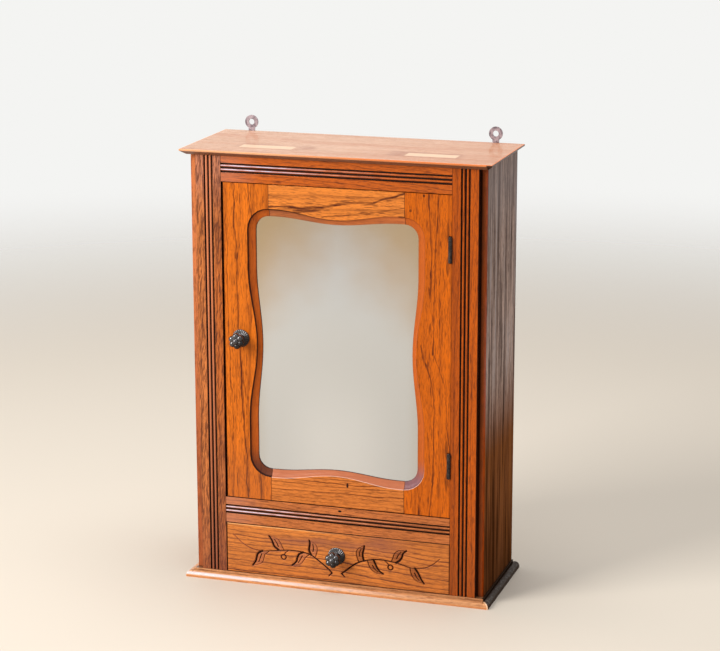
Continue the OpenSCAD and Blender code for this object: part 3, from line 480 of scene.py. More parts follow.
def lamp(name, place, aim, size, power, colour=(1, 1, 1)):
    light = bpy.data.lights.new(name, "AREA")
    light.shape = "RECTANGLE"
    light.size, light.size_y = size
    light.energy = power
    light.color = colour
    obj = bpy.data.objects.new(name, light)
    bpy.context.scene.collection.objects.link(obj)
    direction = Vector(aim) - Vector(place)
    obj.matrix_world = Matrix.Translation(place) @ direction.to_track_quat("-Z", "Y").to_matrix().to_4x4()


def studio():
    lamp("window_lamp", (-2.3, -2.5, 2.1), (0, 0, 0.35), (1.8, 2.2), 150, (1.0, 0.985, 0.96))
    lamp("top_lamp", (0.1, 0.1, 3.0), (0, 0, 0.3), (1.7, 1.5), 50)
    world = bpy.data.worlds.new("studio")
    bpy.context.scene.world = world
    world.use_nodes = True
    g = Graph(world.node_tree)
    surround = g.tree.nodes["Background"]
    g.feed(surround.inputs["Color"], srgb(233, 236, 240))
    g.feed(surround.inputs["Strength"], 0.42)
    shown = g.node("ShaderNodeBackground", {}, {"Color": srgb(244, 244, 242), "Strength": 1.0})
    ray = [g.node("ShaderNodeLightPath", {}, {}, kind + " Ray")
           for kind in ("Is Camera", "Is Glossy", "Is Transmission")]
    seen = ray[0].maths("MAXIMUM", ray[0].maths("MAXIMUM", ray[0], ray[1]), ray[2])
    both = g.node("ShaderNodeMixShader", {}, {0: seen, 1: Signal(g, surround.outputs[0]), 2: shown})
    g.feed(g.tree.nodes["World Output"].inputs[0], both)

    bm = bmesh.new()
    bmesh.ops.create_grid(bm, x_segments=1, y_segments=1, size=9)
    mesh = bpy.data.meshes.new("floor")
    bm.to_mesh(mesh)
    bm.free()
    floor = bpy.data.objects.new("floor", mesh)
    bpy.context.scene.collection.objects.link(floor)
    f = Finish("pale_floor")
    f.set(Base_Color=srgb(217, 206, 191), Roughness=0.6, Specular_IOR_Level=0.2)
    far = f.step((f.x * f.x + f.y * f.y) ** 0.5, 1.2, 3.2)
    clear = f.node("ShaderNodeBsdfTransparent", {}, {})
    fade = f.node("ShaderNodeMixShader", {}, {0: far, 1: Signal(f, f.shader.outputs[0]), 2: clear})
    f.feed(f.tree.nodes["Material Output"].inputs[0], fade)
    mesh.materials.append(f.material)


# ---------------------------------------------------------------- the cabinet

DOOR_DARK = srgb(84, 32, 12)
RAIL_DARK = srgb(74, 30, 16)
# Near black, used for painted shade and shadow in grooves, gaps and shaded ends, and for dark joints and a
# nail hole
SHADE_AND_DIRT_BLACK = srgb(12, 5, 4)

stile_low, stile_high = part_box("front_stile_right")
front_y = stile_low.y
door_low, door_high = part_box("door_stile_left")
door_y = door_low.y
body_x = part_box("side_board_right")[1].x
rear_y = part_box("side_board_right")[1].y


def near_front(f, face):
    """1 at a front face and a few mm behind it, so that painted shadow in the gaps, and a painted highlight,
    stay near the front.
    """
    return f.step(f.y, face + 6 * MM, face + 4 * MM)


def shade_and_dirt_in_reeds(f, colour):
    """Painted shade, with old polish and dirt, in the grooves beside the reeds: darker flanks and near-black
    groove bottoms.
    """
    below = f.step(f.y, front_y + 4 * MM, front_y + 3.6 * MM)
    flanks = f.step(f.y, front_y + 0.45 * MM, front_y + 1.2 * MM) * below
    colour = f.mix(flanks * 0.5, colour, srgb(80, 36, 20))
    return f.mix(f.step(f.y, front_y + 0.9 * MM, front_y + 1.9 * MM) * below * 0.93, colour, SHADE_AND_DIRT_BLACK)


def reed_sheen_and_shade(middle, share):
    """A painted whitish highlight along the top of each of a rail's reeds, most of all at the left, and
    painted shade on each reed's lower half; dark joint lines at the rail's ends and painted shadow under its
    foot."""
    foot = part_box("middle_rail")[0].z

    def touch(f, colour):
        uneven = f.step(f.noise(f.combine(f.x * 60, f.y, f.z * 200)), 0.4, 0.6)
        sheen_mask = f.step(f.x, 0.16, -0.16) * (0.5 + 0.5 * uneven)
        highlight_tone = f.mix(f.step(f.x, -0.1, 0.0), srgb(228, 224, 246), srgb(232, 178, 160))
        left = f.step(f.x, -0.1, -0.16)
        colour = f.mix(left * 0.35, colour, srgb(200, 134, 110))
        # painted shade on each reed's lower half, painted highlight along its upper part
        for reed in (middle - 2.8, middle + 2.8):
            lower = f.band(f.z, (reed - 2.2) * MM, (reed - 0.6) * MM, 0.4 * MM)
            colour = f.mix(lower * 0.45, colour, srgb(110, 54, 32))
            crown = f.band(f.z, (reed + 0.1) * MM, (reed + 0.9) * MM, 0.5 * MM)
            colour = f.mix(crown * sheen_mask * share, colour, highlight_tone)
        # dark joint lines at the rail's ends, painted shadow under the middle rail's foot
        ends = f.step(abs(f.x), stile_low.x - 0.6 * MM, stile_low.x - 0.15 * MM) * near_front(f, front_y)
        under = f.step(f.z, foot + 0.7 * MM, foot + 0.3 * MM)
        colour = f.mix(ends.maths("MAXIMUM", ends, under) * 0.85, colour, SHADE_AND_DIRT_BLACK)
        return shade_and_dirt_in_reeds(f, colour)
    return touch


def dress_front():
    def left_touch(f, colour):
        """The reeds are more orange than the streaked brown flats beside them; a pinkish grey towards the top
        is a painted sheen; the edge at the door is painted black as the gap's shadow."""
        reeds = f.band(f.x, -193 * MM, -180 * MM, 0.5 * MM)
        # painted sheen: pinkish grey towards the top
        colour = f.mix(f.step(f.z, 0.52, 0.61) * 0.4, colour, srgb(184, 132, 122))
        colour = f.mix(f.band(f.z, 0.2, 0.5, 0.1) * 0.14, colour, srgb(110, 56, 34))
        reed_tone = f.mix(f.step(f.z, 0.1, 0.5), srgb(176, 104, 74), srgb(220, 134, 92))
        colour = f.mix(reeds * 0.7, colour, reed_tone)
        inner = f.step(f.x, -180 * MM, -178 * MM)
        colour = f.mix(inner * f.step(f.z, 0.62, 0.55) * 0.46, colour, srgb(110, 50, 26))
        colour = f.mix(inner * f.band(f.z, 0.27, 0.43, 0.08) * 0.35, colour, srgb(222, 112, 28))
        streaks = f.noise(f.combine(f.z * 34, f.x * 480, f.y * 300), detail=4, rough=0.7)
        colour = f.mix(f.step(streaks, 0.5, 0.58) * 0.6 * (1 - reeds), colour, srgb(80, 34, 18))
        colour = f.mix(f.step(streaks, 0.47, 0.4) * 0.26 * (1 - reeds), colour, srgb(240, 142, 78))
        slant = f.noise(f.combine(f.z * 30 + f.x * 160, f.x * 420 - f.z * 100, f.y * 300), detail=2)
        colour = f.mix(f.step(slant, 0.53, 0.62) * 0.65 * (1 - reeds), colour, srgb(80, 40, 30))
        colour = f.mix(f.step(f.z, 0.2, 0.0) * 0.5, colour, srgb(112, 62, 52))
        # painted shadow in the gap at the door
        edge = f.step(f.x, -stile_low.x - 0.4 * MM, -stile_low.x - 0.1 * MM)
        return shade_and_dirt_in_reeds(f, f.mix(edge * near_front(f, front_y) * 0.95, colour, SHADE_AND_DIRT_BLACK))

    def right_touch(f, colour):
        # Painted shade on the stile's outer side face, and painted shadow in the gap at its inner edge,
        # strongest beside the drawer
        outside = f.step(f.x, stile_high.x - 1.0 * MM, stile_high.x - 0.2 * MM)
        inner = f.step(f.x, stile_low.x + 14 * MM, stile_low.x + 4 * MM)
        colour = f.mix(inner * 0.25, colour, srgb(112, 46, 12))
        colour = f.mix(f.step(f.z, 0.2, 0.0) * 0.35, colour, srgb(112, 64, 34))
        edge = f.step(f.x, stile_low.x + 0.4 * MM, stile_low.x + 0.1 * MM)
        edge = edge * (0.5 + 0.5 * f.step(f.z, 0.13, 0.12)) * near_front(f, front_y)
        return shade_and_dirt_in_reeds(f, f.mix(outside.maths("MAXIMUM", outside, edge) * 0.9, colour, SHADE_AND_DIRT_BLACK))

    reed_sheen = reed_sheen_and_shade(106.3, 0.75)

    def nail_hole(f, colour):
        return reed_sheen(f, f.mix(f.spot(5.3, 119.1, 3.4, 1.9), colour, SHADE_AND_DIRT_BLACK))

    boards = [
        ("stile_left", "z", srgb(222, 130, 66), srgb(70, 36, 28), 1, 9, (-300, 0), 0.05, left_touch),
        ("stile_right", "z", srgb(200, 92, 16), RAIL_DARK, 2, 8, (50, 20), 0.03, right_touch),
        ("top_rail", "x", srgb(206, 100, 30), RAIL_DARK, 3, 6, (540, -100), 0.16, reed_sheen_and_shade(605.05, 0.85)),
        ("middle_rail", "x", srgb(204, 118, 62), RAIL_DARK, 4, 5, (40, -90), 0.1, nail_hole),
    ]
    for name, grain, light, dark, seed, ring, heart, tilt, touch in boards:
        node = "front_" + name if name.startswith("stile") else name
        softened(node, oak(name + "_oak", grain, light, dark, seed, ring=ring, heart=heart, tilt=tilt,
                           touch=touch), 0.4)


def dress_carcass():
    def edges_and_inside(f, colour, seen):
        """A side board: the outside as given, the inside bare, the front edge in the frame's colour, with
        painted shadow on it beside the stile.
        """
        bare = f.mix(0.85, colour, srgb(184, 142, 94))
        colour = f.mix(f.step(abs(f.x), body_x - 3 * MM, body_x - 1.5 * MM), bare, seen)
        front = f.step(f.y, front_y + 9.5 * MM, front_y + 8.6 * MM)
        left_tone = f.mix(f.step(f.z, 0.1, 0.5), srgb(172, 86, 46), srgb(212, 120, 68))
        tone = f.mix(f.step(f.x, -0.1, 0.1), left_tone, srgb(144, 56, 8))
        streaks = f.noise(f.combine(f.z * 46, f.x * 260, f.y * 300), detail=4, rough=0.7)
        tone = f.mix(f.step(streaks, 0.46, 0.58) * 0.5, tone, srgb(96, 38, 16))
        colour = f.mix(front * 0.9, colour, tone)
        colour = f.mix(f.step(f.y, rear_y - 2.5 * MM, rear_y - 1.5 * MM) * 0.7, colour, srgb(60, 34, 24))
        # painted shadow on the front edge beside the stile
        corner = front * f.step(abs(f.x), body_x - 6.0 * MM, body_x - 8.5 * MM)
        return f.mix(corner * 0.9, colour, SHADE_AND_DIRT_BLACK)

    def side_sheen_and_shade(f, colour):
        """The right side has a painted grey, streaky reflection towards the top and painted shade, dark
        brown, towards the foot.
        """
        low = f.step(f.z, 0.34, 0.2)
        seen = f.mix(low * 0.94, colour, srgb(140, 80, 34))
        wide_streaks = f.noise(f.combine(f.z * 2.4, f.x, f.y * 62), detail=4, rough=0.7)
        fine_streaks = f.noise(f.combine(f.z * 4.5 + 3, f.x, f.y * 150), detail=3, rough=0.65)
        for streaks, share, grey, brown in (
                (f.step(wide_streaks, 0.42, 0.6), 0.5, srgb(88, 70, 66), srgb(66, 30, 8)),
                (f.step(fine_streaks, 0.5, 0.6), 0.66, srgb(58, 46, 44), srgb(44, 20, 5)),
                (f.step(fine_streaks, 0.46, 0.36), 0.5, srgb(204, 194, 194), srgb(160, 98, 44))):
            seen = f.mix(streaks * share, seen, f.mix(low, grey, brown))
        seen = f.mix(f.step(f.z, 0.16, 0.0) * 0.4, seen, srgb(42, 18, 4))
        seen = f.mix(f.step(f.z, 0.5, 0.6) * 0.25, seen, srgb(206, 194, 194))
        return edges_and_inside(f, colour, seen)

    def plain_side(f, colour):
        streaks = f.noise(f.combine(f.z * 2.4, f.x, f.y * 62), detail=4, rough=0.7)
        seen = f.mix(f.step(streaks, 0.42, 0.62) * 0.35, colour, srgb(96, 50, 30))
        return edges_and_inside(f, colour, f.mix(f.step(f.z, 0.25, 0.0) * 0.4, seen, srgb(84, 44, 26)))

    # The right board's pale greyish light tone belongs to its painted reflection.
    right = oak("side_right_oak", "z", srgb(222, 192, 178), srgb(52, 34, 26), 5, ring=7.5, heart=(200, 60),
                tilt=0.03, veins=0.5, coat=0.0, shine=0.0, touch=side_sheen_and_shade)
    left = oak("side_left_oak", "z", srgb(190, 116, 68), RAIL_DARK, 20, ring=7.5, heart=(200, 60),
               tilt=0.03, veins=0.8, cloud=0.4, touch=plain_side)
    softened("side_board_right", right, 0.5)
    softened("side_board_left", left, 0.5)
    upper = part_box("top_board")[1].z

    def patches(f, colour):
        """Streaks, two let-in patches of paler wood with darkened wood beside them, painted shade under the
        front nose and painted shadow along the right end's edge.
        """
        streaks = f.noise(f.combine(f.x * 4, f.y * 55, f.z), detail=4, rough=0.65)
        colour = f.mix(f.step(streaks, 0.46, 0.66) * 0.5, colour, srgb(172, 100, 58))
        colour = f.mix(0.1 + 0.14 * f.step(f.x, -0.05, 0.16), colour, srgb(190, 110, 52))
        top = f.step(f.z, upper - 1.5 * MM, upper - 0.5 * MM)
        for left, right, stain in ((-150, -75, 14), (92, 162, -10)):
            blotch = f.noise(f.combine(f.x * 30, f.y * 60, f.z), detail=3)
            around = (f.band(f.x, (left - 10 + stain) * MM, (right + 10 + stain) * MM, 14 * MM)
                      * f.band(f.y, -44 * MM, -16 * MM, 10 * MM) * f.step(blotch, 0.35, 0.55))
            colour = f.mix(around * 0.55, colour, srgb(150, 88, 56))
            patch = (f.band(f.x, left * MM, right * MM, 3 * MM)
                     * f.band(f.y, -42 * MM, -22 * MM, 3 * MM) * top)
            colour = f.mix(patch * 0.85, colour, srgb(228, 190, 154))
        beside = abs(f.x).maths("MAXIMUM", abs(f.x) - body_x, front_y - f.y)
        # painted shade on the undercut below the nose
        under = f.step(f.z, upper - 2.4 * MM, upper - 3.4 * MM) * f.step(beside, 0.5 * MM, 1.5 * MM)
        colour = f.mix(under * 0.75, colour, srgb(84, 36, 18))
        tip = f.step(beside, 7.6 * MM, 9.6 * MM) * f.step(f.z, upper - 2.8 * MM, upper - 2.0 * MM)
        tip_tone = f.mix(f.step(f.x, -0.16, 0.1), srgb(236, 166, 116), srgb(222, 116, 44))
        colour = f.mix(tip * 0.8, colour, tip_tone)
        # painted shadow along the right end's edge
        right_end = f.step(f.x, body_x + 1 * MM, body_x + 3 * MM)
        right_end = right_end * f.step(f.z, upper - 0.3 * MM, upper - 0.8 * MM)
        return f.mix(right_end * 0.9, colour, SHADE_AND_DIRT_BLACK)

    # The top's pale light tone stands partly for a painted whitish glare.
    softened("top_board", oak("top_board_oak", "x", srgb(216, 172, 140), srgb(140, 84, 54), 6, ring=7,
                              heart=(700, -140), tilt=0.06, vein=0.4, veins=0.6, cloud=0.4, coat=0.4,
                              touch=patches), 0.4)

    base_low, base_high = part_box("base_board")
    over = base_high.x - body_x

    def shaded_end(f, colour):
        """The base's right end is dark from its mitre on, painted shade with darker varnish, speckled with a
        painted grey sheen along its round; the nose has painted shade in its quirk and where it meets the
        body, a painted whitish highlight on its round, and a painted highlight on the lip at the mitre."""
        out = abs(f.x).maths("MAXIMUM", abs(f.x) - body_x, base_low.y + over - f.y)
        # painted shade in the quirk above the round
        quirk = f.band(out, 2.6 * MM, 3.2 * MM, 0.3 * MM) * f.step(f.z, 5 * MM, 5.5 * MM)
        colour = f.mix(f.step(f.x, -0.1, 0.15) * 0.2, colour, srgb(150, 84, 44))
        colour = f.mix(quirk * (0.6 + 0.3 * f.step(f.x, -0.1, 0.15)), colour, srgb(80, 36, 16))
        # painted shade where the base meets the body
        foot = f.step(f.z, base_high.z - 0.3 * MM, base_high.z) * f.step(out, 1.4 * MM, 0.2 * MM)
        colour = f.mix(foot * 0.75, colour, srgb(64, 32, 20))
        # painted whitish highlight on the round
        lit_area = f.band(f.z, 4.4 * MM, 7.0 * MM, 1.0 * MM) * f.step(out, 6 * MM, 7.5 * MM)
        lit_area = lit_area * f.step(f.x, 0.16, -0.2)
        colour = f.mix(lit_area * 0.75, colour, srgb(236, 224, 228))
        colour = f.mix(f.step(f.z, 3.2 * MM, 2.0 * MM) * 0.5, colour, srgb(206, 120, 62))
        # painted shade, with darker varnish, on the right end
        mitre = f.x + f.y - base_high.x - base_low.y
        end = f.step(f.x, body_x - 0.4 * MM, body_x + 0.4 * MM) * f.step(mitre, -0.1 * MM, 0.5 * MM)
        colour = f.mix(end * 0.95, colour, srgb(16, 13, 12))
        # painted grey sheen speckled along the end's round
        speckle = f.step(f.noise(f.combine(f.x * 300, f.y * 220, f.z * 300), detail=3), 0.5, 0.62)
        sheen_mask = f.band(f.z, 5.5 * MM, 8.5 * MM, 1.5 * MM) * f.step(out, 4 * MM, 5.5 * MM)
        colour = f.mix(end * sheen_mask * (0.3 + 0.5 * speckle), colour, srgb(104, 98, 94))
        # painted highlight on the lip at the mitre
        lip = f.band(mitre, -1.6 * MM, -0.4 * MM, 0.4 * MM) * f.step(out, 3.4 * MM, 4.2 * MM)
        return f.mix(lip * f.step(f.x, 0.2, 0.21) * 0.7, colour, srgb(250, 214, 178))

    def dull_end(f):
        return 0.7 * f.step(f.x + f.y - base_high.x - base_low.y, 0.4 * MM, -0.2 * MM)

    base = oak("base_board_oak", "x", srgb(238, 172, 116), srgb(120, 56, 26), 7, ring=4.0,
               heart=(200, -100), vein=0.3, coat=dull_end, shine=0.03, touch=shaded_end)
    softened("base_board", base, 0.3)
    seams = [corner.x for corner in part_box("back_board_middle")]

    def joined(f, colour):
        """Dark lines where the back boards meet, dust towards the foot."""
        for seam in seams:
            colour = f.mix(f.step(abs(f.x - seam), 1.0 * MM, 0.3 * MM) * 0.8, colour, srgb(44, 26, 16))
        dust = f.noise(f.combine(f.x * 9, f.y, f.z * 5), detail=4, rough=0.6)
        colour = f.mix(f.step(dust, 0.4, 0.7) * 0.3, colour, srgb(120, 92, 66))
        return f.mix(f.step(f.z, 0.12, 0.0) * 0.25, colour, srgb(92, 66, 44))

    for side, seed, light in (("left", 8, srgb(178, 134, 88)), ("middle", 21, srgb(192, 150, 102)),
                              ("right", 22, srgb(170, 130, 84))):
        paint(["back_board_" + side],
              bare_oak("back_" + side + "_oak", "z", seed, light, srgb(96, 64, 38), joined))
    paint(["cupboard_floor", "lower_shelf", "upper_shelf", "lower_shelf_batten_left",
           "lower_shelf_batten_right", "upper_shelf_batten_left", "upper_shelf_batten_right"],
          bare_oak("shelf_oak", "x", 9))
    paint(["drawer_guide_left", "drawer_guide_right", "drawer_kicker_left", "drawer_kicker_right",
           "carcass_dowels"], bare_oak("runner_oak", "y", 10))


def dress_door():
    def hollow_light_and_shade(f, colour, upper, lower, shadow_share, shine):
        """The hollow's tones, above and below, are painted light and shade for the way it faces the light;
        the wall under its outer arris gets painted shadow, the arris of the lower hollow a painted highlight,
        and the edge by the glass painted shade.
        """
        opening = (f.band(f.x, door_low.x + 12 * MM, door_right - 12 * MM, 2 * MM)
                   * f.band(f.z, door_low.z + 12 * MM, door_high.z - 12 * MM, 2 * MM)
                   * f.step(f.y, door_y + 9 * MM, door_y + 8 * MM))
        hollow = f.step(f.y, door_y + 0.15 * MM, door_y + 0.9 * MM) * opening
        low = f.step(f.z, 0.21, 0.17)
        # painted light and shade: the hollow's tone by the way it faces
        colour = f.mix(hollow * (0.65 + 0.25 * low), colour, f.mix(low, upper, lower))
        # painted shadow on the wall under the outer arris
        wall = f.step(f.y, door_y + 0.05 * MM, door_y + 0.25 * MM)
        wall = wall * f.step(f.y, door_y + 2.9 * MM, door_y + 1.9 * MM) * opening
        colour = f.mix(wall * shadow_share(f) * 0.95, colour, srgb(36, 10, 6))
        # painted highlight on the arris of the lower hollow
        lip = f.band(f.y, door_y + 0.2 * MM, door_y + 0.8 * MM, 0.2 * MM) * opening
        colour = f.mix(lip * low * shine, colour, srgb(240, 204, 190))
        # painted shade at the edge by the glass
        inner_edge = f.step(f.y, door_y + 5.2 * MM, door_y + 6.0 * MM) * opening
        return f.mix(inner_edge * 0.9, colour, srgb(30, 12, 8))

    def joint(f, colour, edges, others=()):
        """A dark line where a rail meets a stile, single dark spots, and painted shadow in the gap at the
        door's left edge.
        """
        for edge in edges:
            colour = f.mix(f.step(abs(f.x - edge), 0.6 * MM, 0.15 * MM) * 0.85, colour, srgb(40, 16, 8))
        for x, z, wide, high, share in others:
            colour = f.mix(f.spot(x, z, wide, high) * share, colour, srgb(50, 20, 10))
        # painted shadow in the gap at the door's left edge
        left_edge = f.step(f.x, door_low.x + 0.5 * MM, door_low.x + 0.15 * MM)
        return f.mix(left_edge * near_front(f, door_y) * 0.9, colour, SHADE_AND_DIRT_BLACK)

    left_x = door_high.x
    right_x, door_right = (corner.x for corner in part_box("door_stile_right"))
    hinge_dirt = [(161.5, z + up, 2.6, 17, 0.5) for z in (200.8, 508.7) for up in (-24, 24)]
    knots = [(127.4, 581.3, 2.0, 2.6, 0.8), (108.2, 559.5, 2.2, 2.6, 0.7), (150, 163, 3, 14, 0.35)]

    def left_board(f, colour):
        colour = f.mix(f.step(f.z, 0.24, 0.14) * 0.2, colour, srgb(130, 84, 64))
        colour = hollow_light_and_shade(f, colour, srgb(160, 70, 22), srgb(84, 42, 30), lambda f: 1, 0.0)
        return joint(f, colour, [left_x])

    def right_board(f, colour):
        colour = hollow_light_and_shade(f, colour, srgb(180, 88, 36), srgb(124, 90, 98), lambda f: 0.3, 0.7)
        return joint(f, colour, [right_x], hinge_dirt + knots)

    def top_board(f, colour):
        tone = f.mix(f.step(f.x, -0.06, 0.02), srgb(128, 70, 54), srgb(178, 94, 58))
        colour = hollow_light_and_shade(f, colour, tone, tone, lambda f: f.step(f.x, 0.12, -0.08), 0.0)
        return joint(f, colour, [left_x, right_x], [(95.2, 549.5, 6, 2.4, 0.6)])

    def bottom_board(f, colour):
        colour = hollow_light_and_shade(f, colour, srgb(184, 108, 76), srgb(184, 108, 76), lambda f: 0, 0.6)
        return joint(f, colour, [left_x, right_x], [(16.6, 158.2, 2.0, 4.4, 1.0)])

    left_veins = [
        ([(128, -133), (148, -135.6), (185, -133), (227, -138), (277, -140.5), (337, -142.8), (420, -145.4),
          (503, -146.6), (529, -148.4), (559, -148), (566, -150), (576, -148.4), (586, -150.4)], 1.0, 0.95),
        ([(126, -155.6), (236, -154.6), (327, -158.7), (419, -160), (524, -160.7)], 0.7, 0.7),
        ([(533, -121.8), (550, -124), (564, -126.3), (587, -128.2)], 1.0, 0.95),
        ([(127, -113.6), (180, -114)], 1.1, 0.8), ([(122, -147), (160, -148)], 0.8, 0.5)]
    right_veins = [
        ([(360, 142), (409, 141.7), (451, 143), (510, 144), (553, 147), (584, 149)], 0.8, 0.85),
        ([(221, 166), (275, 161.6), (299, 159.6), (322, 156.3), (339, 152), (350, 146.5), (360, 142.4)],
         0.8, 0.75),
        ([(124, 137), (164, 140), (189, 144.6), (249, 142), (274, 144), (298, 142.8), (314, 140),
          (333, 134.7), (351, 129), (370, 125)], 0.9, 0.85),
        ([(440, 137), (500, 138), (544, 136.6), (583, 135)], 0.8, 0.8),
        ([(397, 166.8), (418, 165), (443, 162), (467, 160)], 0.7, 0.6),
        ([(124, 122), (150, 124)], 0.9, 0.6)]
    top_veins = [
        ([(-96, 552.6), (-71, 555.3), (-48, 554), (-18, 557.7), (11, 563.6), (39, 568.3), (54, 567.4),
          (68, 571.7), (82, 576), (99, 581.8)], 1.7, 1.0),
        ([(-60, 549), (-35, 550.5), (-18, 556)], 2.4, 0.8),
        ([(-18, 543), (-10, 545), (18, 548.6), (47, 553), (68, 555.7), (99, 561.7)], 1.0, 0.8),
        ([(28, 568), (44, 565), (60, 564)], 1.6, 0.7), ([(52, 560), (75, 563), (99, 570)], 0.6, 0.4)]
    boards = [
        ("door_stile_left", "z", srgb(228, 117, 24), 11, 17, (-240, 10), 0.03, left_veins, left_board),
        ("door_stile_right", "z", srgb(216, 104, 12), 12, 15, (330, 0), 0.02, right_veins, right_board),
        ("door_top_rail", "x", srgb(238, 138, 56), 13, 16, (515, -51), 0.13, top_veins, top_board),
        ("door_bottom_rail", "x", srgb(222, 128, 56), 14, 5.6, (60, -60), 0.02, [], bottom_board),
    ]
    for node, grain, light, seed, ring, heart, tilt, lines, touch in boards:
        veins = 1.6 if ring < 10 else 0.5
        softened(node, oak(node + "_oak", grain, light, DOOR_DARK, seed, ring=ring, heart=heart, tilt=tilt,
                           lines=lines, vein=0.3, veins=veins, touch=touch), 0.3)
    paint(["mirror_glass"], old_mirror("old_mirror"))
    paint(["mirror_backing", "mirror_bead_top", "mirror_bead_bottom"], bare_oak("backing_oak", "x", 15))
    paint(["mirror_bead_left", "mirror_bead_right"], bare_oak("bead_oak", "z", 16))


# The sprigs on the drawer, in mm from the frame's zero: each stem's foot and stem, its
# leaves as a steep and a shallow edge from the stem to the tip, and its berry
SPRIGS = [
    {"foot": [(-11.8, 19.4), (-7.1, 24.4)],
     "stem": [(-7.1, 24.4), (-15.2, 32.0), (-29.2, 42.2), (-38.9, 47.9), (-52.9, 51.3), (-72.5, 51.7),
              (-90.0, 49.3), (-108.6, 46.7), (-115.2, 46.4), (-129.5, 48.8), (-143.7, 56.0), (-157.0, 67.9)],
     "leaves": [
         ([(-38.3, 47.9), (-41.5, 54.6), (-41.2, 59.5), (-40.4, 65.0), (-41.3, 70.0)],
          [(-31.8, 46.5), (-29.9, 52.9), (-29.1, 58.1), (-31.6, 64.6), (-41.3, 70.0)]),
         ([(-50.8, 50.9), (-57.2, 46.9), (-59.8, 41.0), (-61.0, 36.0), (-67.3, 29.6)],
          [(-41.5, 48.5), (-47.0, 43.5), (-50.4, 38.1), (-55.4, 32.4), (-67.3, 29.6)]),
         ([(-87.8, 50.6), (-93.7, 54.5), (-96.4, 59.5), (-98.4, 64.6), (-102.3, 70.4)],
          [(-79.8, 51.2), (-82.9, 56.6), (-85.3, 62.0), (-90.4, 67.6), (-102.3, 70.4)]),
         ([(-113.0, 46.4), (-119.4, 42.4), (-121.7, 36.5), (-123.2, 30.5), (-127.8, 23.3)],
          [(-103.3, 46.5), (-109.2, 41.2), (-110.9, 35.4), (-114.6, 27.6), (-127.8, 23.3)])],
     "berry": (-80.3, 40.7), "stalk": [(-72.5, 51.3), (-76.9, 48.2), (-79.0, 45.0)]},
    {"foot": [(12.5, 20.0), (7.4, 25.0)],
     "stem": [(7.4, 25.0), (17.8, 34.0), (28.2, 42.0), (36.3, 46.2), (45.5, 49.2), (58.0, 51.6), (70.7, 52.1),
              (86.7, 50.4), (100.3, 47.4), (107.2, 45.4), (116.0, 44.6), (129.8, 46.6), (142.2, 53.0),
              (152.9, 62.5)],
     "leaves": [
         ([(40.7, 48.0), (39.2, 53.7), (39.0, 59.0), (40.4, 64.6), (41.4, 70.2)],
          [(33.1, 45.5), (30.0, 54.7), (30.0, 61.0), (33.6, 66.3), (41.4, 70.2)]),
         ([(55.2, 50.8), (58.6, 43.3), (61.2, 38.6), (64.2, 34.6), (69.5, 31.4)],
          [(46.2, 49.2), (48.6, 41.8), (52.6, 35.8), (59.6, 31.8), (69.5, 31.4)]),
         ([(88.9, 50.2), (94.6, 54.8), (97.4, 59.6), (99.0, 65.0), (103.9, 69.4)],
          [(81.9, 51.2), (84.6, 58.6), (87.1, 64.6), (93.6, 68.8), (103.9, 69.4)]),
         ([(116.8, 44.5), (121.4, 38.0), (124.2, 32.4), (126.4, 28.2), (130.1, 23.4)],
          [(109.2, 45.2), (110.8, 37.5), (113.9, 31.0), (119.8, 26.2), (130.1, 23.4)])],
     "berry": (80.4, 42.3), "stalk": [(70.7, 51.9), (75.0, 49.2), (77.6, 46.4)]},
]


NET_PITCH = 0.53
CARVED_LAYER = 4 * MM


